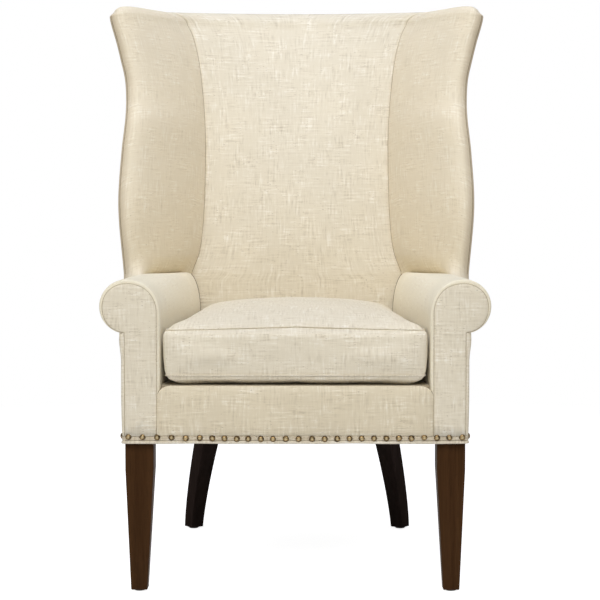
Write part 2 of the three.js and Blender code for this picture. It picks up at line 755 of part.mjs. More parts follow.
const wireSection = new THREE.Shape(
  space(SPRING_SIDES)
    .slice(1)
    .map((share) => {
      const angle = 2 * Math.PI * share;
      return new THREE.Vector2(Math.cos(angle), Math.sin(angle)).multiplyScalar(SPRING_WIRE / 2);
    }),
);
const springReach = ARM_INNER_REAR - SPRING_INSET;
for (let i = 0; i < SPRING_COUNT; i++) {
  const x = mix(-springReach, springReach, i / (SPRING_COUNT - 1));
  const steps = SPRING_WAVES * SPRING_STEPS_PER_WAVE;
  const spring = new THREE.ExtrudeGeometry(wireSection, { extrudePath: new SpringLine(x), steps });
  place("seat_spring_" + (i + 1), spring, steel);
}

const dustCover = levelPlate(
  planOutline(backLegDepth + OVERRUN, FRAME_FRONT + OVERRUN),
  RAIL_BOTTOM - CLEARANCE - DUST_COVER,
  DUST_COVER,
);
const grownFrontLeg = block(
  legInner - CLEARANCE,
  legOuter + OVERRUN,
  FRAME_FRONT - OVERRUN,
  legBack + CLEARANCE,
  LEG_HEIGHT,
  RAIL_BOTTOM + OVERRUN,
);
place(
  "dust_cover",
  cut(dustCover, grownFrontLeg, mirrored(grownFrontLeg), grownBackLeg, mirrored(grownBackLeg)),
  cambric,
);

// Pads that roll over the top of the frame
const rollOver = spread(0, Math.PI, 5).slice(1);

// How far a pad reaches from its inner face (-1) to the outside (1) as it rolls over, and how high.
function rollStep(start, angle) {
  const half = (1 - start) / 2;
  return { reach: 1 - half - half * Math.cos(angle), lift: Math.pow(half, 0.7) * Math.sin(angle) };
}

function backPadBehind(across, z) {
  const front = insideBack(across, z);
  const behind = skin(SEAM_share * across, z, PAD_BEHIND_POST);
  const whole = front.distanceTo(behind);
  const share = mix(Math.min(BACK_PAD / whole, 1), 1, Math.pow(Math.abs(across), 6));
  return front.lerp(behind, share);
}

const backColumns = spread(-1, 1, 12);
const backSide = CLEARANCE / SEAM_HALF_WIDTH;
const drawnIn = (across) => across * (1 - backSide);
const backPadLevels = between(levels, PAD_BOTTOM, ROUND_BOTTOM);
const insideBackFront = backPadLevels.map((z) => backColumns.map((c) => insideBack(drawnIn(c), z)));
const insideBackRear = backPadLevels.map((z) => backColumns.map((c) => backPadBehind(drawnIn(c), z)));
for (const angle of rollOver) {
  const { reach, lift } = rollStep(-1, angle);
  const share = (reach + 1) / 2;
  insideBackFront.push(
    backColumns.map((c) => {
      const point = insideBack(drawnIn(c), ROUND_BOTTOM);
      point.lerp(skin(SEAM_share * drawnIn(c), ROUND_BOTTOM), share);
      point.z += TOP_ROUND * lift + CLEARANCE;
      return point;
    }),
  );
  insideBackRear.push(
    backColumns.map((c) => {
      const point = backPadBehind(drawnIn(c), ROUND_BOTTOM);
      point.lerp(skin(SEAM_share * drawnIn(c), ROUND_BOTTOM, FRAME_DEPTH), share);
      point.z += CLEARANCE;
      return point;
    }),
  );
}
place("inside_back", slab(insideBackFront, insideBackRear, true), linen);

// Webbing straps, between the inside back and the posts
function webSurface(across, z, layer) {
  const [from, to, run] = bracket(backColumns, across);
  const [low, high, rise] = bracket(levels, z);
  const row = (level) => backPadBehind(drawnIn(from), level).lerp(backPadBehind(drawnIn(to), level), run);
  const point = row(low).lerp(row(high), rise);
  point.y += WEB_GAP + layer;
  return point;
}

const webTop = FRAME_TOP - TOP_RAIL_HEIGHT - WEB_WIDTH;
const webReach_share = 0.95;
for (let i = 0; i < WEB_COUNT; i++) {
  const bottom = mix(ARM_TOP, webTop, i / WEB_COUNT);
  const grid = (layer) =>
    between(levels, bottom, bottom + WEB_WIDTH).map((z) =>
      between(backColumns, -webReach_share, webReach_share).map((across) => webSurface(across, z, layer)),
    );
  place("back_web_" + (i + 1), slab(grid(0), grid(WEB_THICKNESS), true), webbing);
}

// Inside wings: across the wing, round its front edge, and over its top
function rollTop(x) {
  const across = THREE.MathUtils.clamp(x - ROLL_CENTRE, 0, ROLL_RADIUS);
  const top = ROLL_HEIGHT + Math.sqrt(ROLL_RADIUS * ROLL_RADIUS - across * across);
  return across > 0 ? top - OVERRUN : top + CLEARANCE;
}

const wingColumns = [
  ...spread(0, 1, 6).map((along) => ({ along, angle: 0 })),
  ...spread(0, Math.PI, 5).slice(1).map((angle) => ({ along: 1, angle })),
];

function wingFront(column, z, reach) {
  const point = insideWing(column.along, z);
  point.lerp(skin(mix(SEAM_share, 1, column.along), z), (reach + 1) / 2);
  const edge = wingEdge(z);
  const forward = new THREE.Vector3(Math.sin(edge.splay), -Math.cos(edge.splay), 0);
  return point.addScaledVector(forward, WING_EDGE_ROUND * Math.sin(column.angle));
}

function wingBehind(column, z, reach) {
  const thick = mix(PAD_BEHIND_POST, PAD_BEHIND_BOARD, clampShare(4 * column.along));
  const depth = mix(thick, FRAME_DEPTH, (reach + 1) / 2);
  const edge = column.angle < Math.PI ? BOARD_END_share + 2 * SLIT_share : PANEL_END_share;
  return skin(mix(SEAM_share, edge, column.along), z, depth);
}

// Rows of points up the wing, from the arm to the top and over it.
function wingRows(build, topRound) {
  const reachOf = (column) => -Math.cos(column.angle);
  const lowOf = (column) => rollTop(wingFront(column, ARM_TOP, reachOf(column)).x);
  const rows = [0, ...levels.filter((z) => z > ROLL_HEIGHT)].map((z, k) =>
    wingColumns.map((column) => build(column, Math.max(z, lowOf(column) + k * FRAME_GAP), reachOf(column))),
  );
  for (const angle of rollOver) {
    rows.push(
      wingColumns.map((column) => {
        const { reach, lift } = rollStep(reachOf(column), angle);
        const point = build(column, ROUND_BOTTOM, reach);
        point.z += CLEARANCE + topRound * lift * mix(1, EAR_ROUND_share, column.along);
        return point;
      }),
    );
  }
  return rows;
}

// The arm's outer shape with its clearance, where the wing stands on it
const armEnvelopeRing = (y) =>
  [...shoulderPoints(y, -CLEARANCE), ...rollPoints(-CLEARANCE)].map(([x, z]) => new THREE.Vector3(x, y, z));
const armEnvelope = loft(
  [ROLL_LENGTH - FLARE_HEIGHT, ROLL_LENGTH + CLEARANCE].map(armEnvelopeRing),
  fromFront,
);
const insideWingPad = slab(wingRows(wingFront, TOP_ROUND), wingRows(wingBehind, 0));
insideWingPad.translate(CLEARANCE, 0, 0);
const besideCorner = CORNER_share + SLIT_share;
const wingPanelEnd = PANEL_END_share - SLIT_share;
const grownPlaces = [besideCorner, wingPanelEnd + SLIT_share / 2];
const grownWingPanel = wall(grownPlaces, [ARM_LINE, ARM_TOP], -OVERRUN, PANEL_THICKNESS + CLEARANCE);
pair("inside_wing", cut(insideWingPad, armEnvelope, grownWingPanel), linen);

// Outside covers
const armPanelPlaces = [besideCorner, 2 - ARM_FRONT_ROUND / WING_FRONT];
pair("outside_arm", wall(armPanelPlaces, [PANEL_BOTTOM, ARM_LINE - CLEARANCE], 0, PANEL_THICKNESS), linen);
pair("outside_wing", wall([besideCorner, wingPanelEnd], [ARM_LINE, FRAME_TOP], 0, PANEL_THICKNESS), linen);
const backPanelPlaces = [-CORNER_share, CORNER_share];
place("outside_back", wall(backPanelPlaces, [PANEL_BOTTOM, FRAME_TOP], 0, PANEL_THICKNESS), linen);

// Front border
const borderHalf = ARM_INNER_FRONT + ARM_EDGE - CLEARANCE;
const borderTop = DECK_TOP - BORDER_DROP;
const borderCorner = (side) =>
  spread(0, Math.PI / 2, 4).map((angle) => [
    side * (borderHalf - BORDER_CORNER * (1 - Math.cos(angle))),
    borderTop - BORDER_CORNER * (1 - Math.sin(angle)),
  ]);
const border = [
  [-borderHalf, PANEL_BOTTOM],
  [borderHalf, PANEL_BOTTOM],
  ...borderCorner(1),
  ...borderCorner(-1).reverse(),
];
place("front_border", uprightPlate(border, 0, FRONT_PAD), linen);

// Base band with its dome nails
const nailCrown_shares = [0.65, 0.8];
const nailProfile = [
  [0, -NAIL_SHANK],
  [NAIL_RADIUS, NAIL_LIFT],
  [NAIL_RADIUS * nailCrown_shares[0], NAIL_DOME * nailCrown_shares[1]],
  [0, NAIL_DOME],
].map(([r, z]) => new THREE.Vector2(r, z));

const plainNail = bareMesh(new THREE.LatheGeometry(nailProfile, NAIL_SIDES));

function nailAt(point, out) {
  const nail = plainNail.clone();
  const turn = new THREE.Quaternion().setFromUnitVectors(new THREE.Vector3(0, 1, 0), out);
  const height = (BAND_BOTTOM + BAND_TOP) / 2;
  return nail.applyQuaternion(turn).translate(point.x, point.y, height);
}

// Even places along a line of points, with half a pitch at each end.
function nailPlaces(line) {
  const lengths = line.slice(1).map((point, i) => point.distanceTo(line[i]));
  const total = lengths.reduce((sum, length) => sum + length, 0);
  const count = Math.floor(total / NAIL_PITCH);
  const step = total / count;
  return Array.from({ length: count }, (_, i) => {
    let left = step * (i + 0.5);
    let leg = 0;
    while (left > lengths[leg]) left -= lengths[leg++];
    const out = line[leg + 1].clone().sub(line[leg]).normalize();
    return {
      point: line[leg].clone().lerp(line[leg + 1], left / lengths[leg]),
      out: new THREE.Vector3(-out.y, out.x, 0),
    };
  });
}

const bandLevels = [BAND_BOTTOM, BAND_TOP];
const nailsOn = (band, line) => joined(band, ...nailPlaces(line).map(({ point, out }) => nailAt(point, out)));
const frontBandHalf = BODY_HALF_WIDTH - CLEARANCE;
const frontLine = [
  new THREE.Vector3(frontBandHalf, 0, 0),
  new THREE.Vector3(-frontBandHalf, 0, 0),
];
place(
  "nail_band_front",
  nailsOn(block(-frontBandHalf, frontBandHalf, 0, FRONT_PAD, BAND_BOTTOM, BAND_TOP), frontLine),
  brass,
);
const bandFront = 2 - FRAME_FRONT / WING_FRONT;
const sideLine = [...between(places, besideCorner, 1), bandFront].map((p) => skin(p, LEG_HEIGHT).setZ(0));
pair(
  "nail_band",
  nailsOn(wall([besideCorner, bandFront], bandLevels, 0, PANEL_THICKNESS), sideLine),
  brass,
);
const backLine = between(places, -CORNER_share, CORNER_share).map((p) => skin(p, LEG_HEIGHT).setZ(0));
place(
  "nail_band_back",
  nailsOn(wall(backPanelPlaces, bandLevels, 0, PANEL_THICKNESS), backLine),
  brass,
);

// Bottom welt, one loop round the whole body
const weltCorner_share = 0.3;
const weltSection = [
  [PANEL_THICKNESS, 0],
  [WELT_PROUD, 0],
  [-WELT_PROUD, WELT_HEIGHT / 4],
  [-WELT_PROUD, WELT_HEIGHT / 2],
  [WELT_PROUD, WELT_HEIGHT],
  [PANEL_THICKNESS, WELT_HEIGHT],
];
const front = new THREE.Vector3(0, -1, 0);
const side = new THREE.Vector3(1, 0, 0);
const halfLoop = [
  { point: new THREE.Vector3(BODY_HALF_WIDTH - WELT_CORNER, 0, 0), out: front },
  {
    point: new THREE.Vector3(
      BODY_HALF_WIDTH - WELT_CORNER * weltCorner_share,
      WELT_CORNER * weltCorner_share,
      0,
    ),
    out: front.clone().add(side).normalize(),
  },
  { point: new THREE.Vector3(BODY_HALF_WIDTH, WELT_CORNER, 0), out: side },
  ...spread(1, 0, PLACE_STEPS).map((p) => ({ point: outer(p, 0), out: outwardAt(p, 0) })),
];
const flip = ({ point, out }) => ({
  point: new THREE.Vector3(-point.x, point.y, point.z),
  out: new THREE.Vector3(-out.x, out.y, out.z),
});
const weltLoop = [...halfLoop, ...halfLoop.slice(0, -1).reverse().map(flip)];
const weltRings = weltLoop.map(({ point, out }) =>
  weltSection.map(([depth, z]) => {
    const spot = point.clone().addScaledVector(out, -depth);
    spot.z = LEG_HEIGHT + z;
    return spot;
  }),
);
place("bottom_welt", loft(weltRings, fromFront, true), linen);

// Seat cushion: boxed, with a crown, its sides drawn in between the corners
const cushionBottom = PAD_BOTTOM;
const cushionRear = SEAT_DEPTH - CUSHION_BACK_GAP;
const cushionSectionShares = [
  [0, 0, 0], [0.6, 0, 0], [0.93, 0, 0], [0.985, 0.07, 0], [1, 0.17, 0], [1.004, 0.55, 0], [0.99, 1, 0],
  [0.93, 1, 0.24], [0.78, 1, 0.54], [0.55, 1, 0.82], [0.28, 1, 0.95], [0, 1, 1],
];
const cushionCrownShares = [[0, 0.12], [0.03, 0.24], [0.2, 0.8], [0.5, 1], [0.85, 0.86], [1, 0.4]];

function cushionRing(y, squeeze) {
  const run = clampShare(y / cushionRear);
  const draw = CUSHION_DRAW * Math.sin(Math.PI * run);
  const half = armInner(Math.max(y, 0)) - CUSHION_GAP - draw - squeeze;
  const crown = CUSHION_CROWN * follow(cushionCrownShares, run);
  const height = CUSHION_THICKNESS - 2 * squeeze;
  const right = cushionSectionShares.map(
    ([across, up, dome]) =>
      new THREE.Vector3(half * across, y, cushionBottom + squeeze + height * up + crown * dome),
  );
  const left = right.slice(1, -1).reverse().map((p) => new THREE.Vector3(-p.x, p.y, p.z));
  return [...right, ...left];
}

const cushionStations = [
  [-CUSHION_NOSE, 2 * CUSHION_NOSE],
  [-CUSHION_NOSE / 2, CUSHION_NOSE / 2],
  [CUSHION_NOSE, 0],
  ...spread(CUSHION_NOSE, cushionRear - CUSHION_NOSE, 7).slice(1).map((y) => [y, 0]),
  [cushionRear, CUSHION_NOSE],
];
place(
  "seat_cushion",
  loft(cushionStations.map(([y, squeeze]) => cushionRing(y, squeeze)), fromFront),
  linen,
  loose,
);

// The frame's origin is on the floor, under the middle of the chair
const bounds = new THREE.Box3().setFromObject(chair);
chair.position.y = -(bounds.min.y + bounds.max.y) / 2;

export default chair;
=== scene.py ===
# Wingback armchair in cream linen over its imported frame: metres, +Z up, the chair faces -Y.
import math
import random

import bmesh
import bpy
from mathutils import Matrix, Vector, noise
from mathutils.bvhtree import BVHTree


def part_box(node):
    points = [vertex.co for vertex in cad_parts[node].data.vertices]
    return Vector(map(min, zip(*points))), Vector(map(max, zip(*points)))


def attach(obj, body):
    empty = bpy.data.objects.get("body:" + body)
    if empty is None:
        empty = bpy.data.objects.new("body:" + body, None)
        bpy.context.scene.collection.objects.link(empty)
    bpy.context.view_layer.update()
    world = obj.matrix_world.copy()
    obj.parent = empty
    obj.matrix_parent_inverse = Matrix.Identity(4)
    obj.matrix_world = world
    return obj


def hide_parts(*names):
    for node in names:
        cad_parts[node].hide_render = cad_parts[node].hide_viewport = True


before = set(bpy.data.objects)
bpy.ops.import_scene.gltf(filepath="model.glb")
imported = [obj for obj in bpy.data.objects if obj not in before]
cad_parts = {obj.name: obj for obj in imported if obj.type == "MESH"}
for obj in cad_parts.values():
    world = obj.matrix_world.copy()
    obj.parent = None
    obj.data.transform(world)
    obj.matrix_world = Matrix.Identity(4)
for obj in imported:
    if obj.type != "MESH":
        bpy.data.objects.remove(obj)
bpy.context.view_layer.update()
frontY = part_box("front_border")[0].y  # the front plane, from which every depth below is counted
scene = bpy.context.scene
mainBody = "chair_body"
cushionBody = "loose_cushion"
print("frame loaded, front plane at", round(frontY, 4))

# Camera, as the photograph was taken
cameraSetup = {
    "lens": 98.36, "sensor": 36, "sight": 60, "height": 0.6761, "distance": 3.0131,
    "side": 0.0177, "turn": 0.167, "tilt": 2.486,
}


def linkObject(name, data):
    made = bpy.data.objects.new(name, data)
    scene.collection.objects.link(made)
    return made


def linkMesh(name, bm):
    mesh = bpy.data.meshes.new(name)
    bm.to_mesh(mesh)
    bm.free()
    return linkObject(name, mesh)


def addCamera(setup):
    lens = bpy.data.cameras.new("camera")
    lens.lens = setup["lens"]
    lens.sensor_width = setup["sensor"]
    lens.clip_end = setup["sight"]
    camera = linkObject("camera", lens)
    camera.location = (setup["side"], frontY - setup["distance"], setup["height"])
    camera.rotation_euler = (math.radians(90 - setup["tilt"]), 0, math.radians(setup["turn"]))
    scene.camera = camera


addCamera(cameraSetup)


# Small sums used by every piece
def mix(low, high, share):
    return low + (high - low) * share


def clampShare(value):
    return min(max(value, 0.0), 1.0)


def smoothStep(value, low, high):
    t = clampShare((value - low) / (high - low))
    return t * t * (3 - 2 * t)


def spread(low, high, count):
    return [mix(low, high, i / count) for i in range(count + 1)]


def followShares(pairs, at):  # a smooth curve through pairs of shares
    last = len(pairs) - 1
    i = next((k for k in range(last) if pairs[k + 1][0] > at), last - 1)

    def slope(k):
        before, after = pairs[max(k - 1, 0)], pairs[min(k + 1, last)]
        return (after[1] - before[1]) / (after[0] - before[0])

    (start, low), (end, high) = pairs[i], pairs[i + 1]
    run = end - start
    t = clampShare((at - start) / run)
    return (
        low * (2 * t**3 - 3 * t**2 + 1)
        + high * (3 * t**2 - 2 * t**3)
        + run * (slope(i) * (t**3 - 2 * t**2 + t) + slope(i + 1) * (t**3 - t**2))
    )


def bezier(a, b, c, d, t):
    s = 1 - t
    return a * s**3 + b * (3 * s * s * t) + c * (3 * s * t * t) + d * t**3


def bezierRun(a, b, c, d, t):  # which way the curve heads there
    s = 1 - t
    return (b - a) * (s * s) + (c - b) * (2 * s * t) + (d - c) * (t * t)


def toSide(points, side=-1):  # points of the right half, kept there or mirrored to the left
    return [Vector((side * p.x, p.y, p.z)) for p in points]


# The chair's own lines, shared by its covers
plan = {
    "bodyHalf": 0.320, "bodyDepth": 0.690, "rearLean": 0.100, "rearBend": 1.25, "roundness": 0.6,
    "railTop": 0.3657, "armLine": 0.483, "flare": 0.077, "armTop": 0.583, "top": 1.160, "topRound": 0.032,
    "wingHalf": 0.396, "wingFront": 0.3935, "wingSweep": 0.110, "wingSplay": math.radians(28),
    "cornerShare": 0.42, "seamShare": 0.76, "earDrop": 0.003,
}
wingWidthShares = [
    (0, 0.9), (0.24, 0.926), (0.44, 0.918), (0.56, 0.904), (0.63, 0.905), (0.71, 0.915),
    (0.78, 0.939), (0.85, 0.965), (0.905, 0.989), (0.94, 1), (1, 1),
]
wingSweepShares = [
    (0, 0), (0.24, -0.05), (0.44, 0.26), (0.56, 0.48), (0.63, 0.7), (0.71, 0.84), (0.85, 0.95), (1, 1),
]
roundBottom = plan["top"] - plan["topRound"]


def heightShare(z):
    return clampShare((z - plan["armTop"]) / (plan["top"] - plan["armTop"]))


def rearAt(z):
    climb = clampShare((z - plan["railTop"]) / (plan["top"] - plan["railTop"]))
    return plan["bodyDepth"] + plan["rearLean"] * climb ** plan["rearBend"]


def wingEdge(z):
    flare = smoothStep(z, plan["armLine"], plan["armLine"] + plan["flare"])
    wide = plan["wingHalf"] * followShares(wingWidthShares, heightShare(z))
    deep = plan["wingFront"] + plan["wingSweep"] * followShares(wingSweepShares, heightShare(z))
    return mix(plan["bodyHalf"], wide, flare), deep, plan["wingSplay"] * flare


def outside(place, z, depth=0.0):  # 0 at the middle of the back, 1 at the wing's edge, 2 at the front
    side, u = (-1 if place < 0 else 1), abs(place)
    edgeX, edgeY, splay = wingEdge(z)
    if u > 1:
        return Vector((side * (edgeX - depth), edgeY * (2 - u), z))
    rear = rearAt(z)
    handle = plan["roundness"] * (rear - edgeY)
    xs = (0, plan["roundness"] * edgeX, edgeX - handle * math.sin(splay), edgeX)
    ys = (rear, rear, edgeY + handle * math.cos(splay), edgeY)
    along = Vector((bezierRun(*xs, u), bezierRun(*ys, u))).normalized()
    return Vector((side * (bezier(*xs, u) + along.y * depth), bezier(*ys, u) - along.x * depth, z))


def topAt(place):  # where the outside covers end, dropping to the tip of each ear
    return roundBottom - plan["earDrop"] * smoothStep(abs(place), 0.9, 1) ** 2


def outwardAt(place, z):
    return (outside(place, z) - outside(place, z, 0.001)).normalized()


def soft(point, size, seed, scale=7.0):  # the slow unevenness of hand-filled padding
    return size * noise.noise(Vector((point.x * scale + seed, point.y * scale, point.z * scale)))


# Making pieces
def runLengths(points):
    total, lengths = 0.0, [0.0]
    for before, after in zip(points, points[1:]):
        total += (after - before).length
        lengths.append(total)
    return lengths


def alongLine(points, lengths, share):
    want = clampShare(share) * lengths[-1]
    k = next((i for i in range(1, len(lengths)) if lengths[i] >= want), len(lengths) - 1)
    part = (want - lengths[k - 1]) / max(lengths[k] - lengths[k - 1], 1e-9)
    return points[k - 1].lerp(points[k], part)


def layCloth(bm, seed=0.0):  # cloth coordinates in metres, cut square to each face
    uv = bm.loops.layers.uv.get("cloth") or bm.loops.layers.uv.new("cloth")
    for face in bm.faces:
        away = [abs(c) for c in face.normal]
        flat = away.index(max(away))
        for loop in face.loops:
            x, y, z = loop.vert.co
            loop[uv].uv = ((y + seed, z), (x + seed, z), (x + seed, y))[flat]


def clothGrid(columns, rows, pointAt, seed=0.0):
    bm = bmesh.new()
    bmesh.ops.create_grid(bm, x_segments=columns, y_segments=rows, size=1)
    uv = bm.loops.layers.uv.new("cloth")
    samples = 60
    across = runLengths([pointAt(i / samples, 0.5) for i in range(samples + 1)])
    upward = runLengths([pointAt(0.5, i / samples) for i in range(samples + 1)])

    def measure(lengths, share):
        at = clampShare(share) * samples
        k = min(int(at), samples - 1)
        return mix(lengths[k], lengths[k + 1], at - k)

    for face in bm.faces:
        for loop in face.loops:
            u, v = (loop.vert.co.x + 1) / 2, (loop.vert.co.y + 1) / 2
            loop[uv].uv = (measure(across, u) - across[-1] / 2 + seed, measure(upward, v))
    for vert in bm.verts:
        vert.co = pointAt(clampShare((vert.co.x + 1) / 2), clampShare((vert.co.y + 1) / 2))
    return bm


def faceAway(bm, centre):  # turns an open sheet's faces away from a point inside the chair
    bmesh.ops.recalc_face_normals(bm, faces=bm.faces)
    score = sum(face.normal.dot(face.calc_center_median() - centre) for face in bm.faces)
    if score < 0:
        bmesh.ops.reverse_faces(bm, faces=bm.faces)


def makePiece(name, bm, material, body=mainBody, closed=True, stands=()):
    if closed:
        bmesh.ops.recalc_face_normals(bm, faces=bm.faces)
    bmesh.ops.translate(bm, verts=bm.verts, vec=(0, frontY, 0))
    piece = linkMesh(name, bm)
    piece.data.polygons.foreach_set("use_smooth", [True] * len(piece.data.polygons))
    piece.data.materials.append(material)
    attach(piece, body)
    if stands:
        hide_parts(*stands)
    return piece


def giveWall(piece, thickness):  # the cloth and its wadding, inwards from the surface
    wall = piece.modifiers.new("wall", "SOLIDIFY")
    wall.thickness = thickness
    wall.offset = -1
    return piece


def mirrorMesh(bm):
    bmesh.ops.scale(bm, verts=bm.verts, vec=(-1, 1, 1))
    bmesh.ops.reverse_faces(bm, faces=bm.faces)


def makeCover(node, bm, material, inside, side=1):  # an open sheet that faces away from a point inside the chair
    faceAway(bm, Vector(inside))
    if side < 0:
        mirrorMesh(bm)
    return makePiece("cover_" + node, bm, material, closed=False, stands=(node,))


def weltAlong(name, points, radius, material, cyclic=False, body=mainBody, sides=8):
    bm = bmesh.new()
    last = len(points)
    rings = []
    ring = bmesh.ops.create_circle(bm, segments=sides, radius=radius)["verts"]
    shape = [vert.co.copy() for vert in ring]
    across = None
    for i, point in enumerate(points):
        before = points[(i - 1) % last] if cyclic or i else point
        after = points[(i + 1) % last] if cyclic or i < last - 1 else point
        ahead = (after - before).normalized()
        if across is None:
            across = ahead.orthogonal().normalized()
        across = (across - ahead * across.dot(ahead)).normalized()
        up = ahead.cross(across)
        if i:
            ring = [bm.verts.new(co) for co in shape]
        for vert, co in zip(ring, shape):
            vert.co = point + across * co.x + up * co.y
        rings.append([bm.edges.get(pair) or bm.edges.new(pair) for pair in zip(ring, ring[1:] + ring[:1])])
    for first, second in zip(rings, rings[1:] + (rings[:1] if cyclic else [])):
        bmesh.ops.bridge_loops(bm, edges=first + second)
    if not cyclic:
        bmesh.ops.holes_fill(bm, edges=bm.edges[:], sides=sides)
    bm.normal_update()
    layCloth(bm)
    return makePiece(name, bm, material, body)


def stackLoops(loops):  # a closed form from outlines with equal counts
    bm = bmesh.new()
    rings = []
    for line in loops:
        ring = [bm.verts.new(p) for p in line]
        rings.append([bm.edges.new(pair) for pair in zip(ring, ring[1:] + ring[:1])])
    for first, second in zip(rings, rings[1:]):
        bmesh.ops.bridge_loops(bm, edges=first + second)
    for ends in (rings[0], rings[-1]):
        bmesh.ops.contextual_create(bm, geom=ends)
    bmesh.ops.recalc_face_normals(bm, faces=bm.faces)
    return bm


def bothSides(make):  # makes the right piece and its mirror
    for side, word in ((1, "right"), (-1, "left")):
        make(side, word)


def threadBothSides(name, path, radius, material):
    bothSides(lambda side, word: weltAlong(name + word, toSide(path, side), radius, material, sides=6))


# Effects that several finishes share
def newGroup(name, inputs, outputs):
    group = bpy.data.node_groups.new(name, "ShaderNodeTree")
    for label, kind, value in inputs:
        socket = group.interface.new_socket(name=label, in_out="INPUT", socket_type=kind)
        if value is not None:
            socket.default_value = value
    for label, kind in outputs:
        group.interface.new_socket(name=label, in_out="OUTPUT", socket_type=kind)
    return group, group.nodes.new("NodeGroupInput"), group.nodes.new("NodeGroupOutput")


def addNode(tree, kind, **settings):
    node = tree.nodes.new(kind)
    for key, value in settings.items():
        if key.startswith("in_"):
            node.inputs[int(key[3:]) if key[3:].isdigit() else key[3:]].default_value = value
        else:
            setattr(node, key, value)
    return node


def feed(tree, socket, value):  # links an output, or sets a number or a color
    if isinstance(value, bpy.types.NodeSocket):
        tree.links.new(value, socket)
    else:
        socket.default_value = (*value, 1) if isinstance(value, tuple) else value


def mathNode(tree, operation, *values):
    node = addNode(tree, "ShaderNodeMath", operation=operation)
    for socket, value in zip(node.inputs, values):
        feed(tree, socket, value)
    return node.outputs[0]


def blendColors(tree, share, first, second, blend="MIX"):
    node = addNode(tree, "ShaderNodeMix", data_type="RGBA", blend_type=blend)
    for place, value in ((0, share), (6, first), (7, second)):  # the sockets that a color blend shows
        feed(tree, node.inputs[place], value)
    return node.outputs[2]


def stretched(tree, vector, scale, detail=2.0, roughness=0.5):
    mapping = addNode(tree, "ShaderNodeMapping", vector_type="POINT", in_Scale=scale)
    cloud = addNode(tree, "ShaderNodeTexNoise", in_Scale=1.0, in_Detail=detail, in_Roughness=roughness)
    tree.links.new(vector, mapping.inputs["Vector"])
    tree.links.new(mapping.outputs[0], cloud.inputs["Vector"])
    return cloud.outputs["Fac"]


def onObject(tree, *cloud):
    return stretched(tree, addNode(tree, "ShaderNodeTexCoord").outputs["Object"], *cloud)


def remap(tree, value, low, high, toLow=0.0, toHigh=1.0):
    node = addNode(tree, "ShaderNodeMapRange", clamp=True)
    tree.links.new(value, node.inputs["Value"])
    for label, number in (("From Min", low), ("From Max", high), ("To Min", toLow), ("To Max", toHigh)):
        node.inputs[label].default_value = number
    return node.outputs["Result"]


def finishSurface(tree, shader, color, roughness, height, strength, distance):
    relief = addNode(tree, "ShaderNodeBump", in_Strength=strength, in_Distance=distance)
    tree.links.new(height, relief.inputs["Height"])
    for label, output in (("Base Color", color), ("Roughness", roughness), ("Normal", relief.outputs[0])):
        tree.links.new(output, shader.inputs[label])


weave = {
    "thread": 0.00085, "slubWidth": 0.0040, "slubLength": 0.042, "fineWidth": 1.9, "fineLength": 3.2, "fineShare": 0.36,
    "fleckWidth": 0.0019, "fleckLength": 0.006, "patch": (26, 26, 1), "otherPatch": (33, 19, 1), "broad": (5, 5, 1),
    "darkest": 0.42, "fleckDark": 0.62, "tint": (1.0, 0.996, 0.985), "threadRelief": 0.18, "slubRelief": 0.3,
}


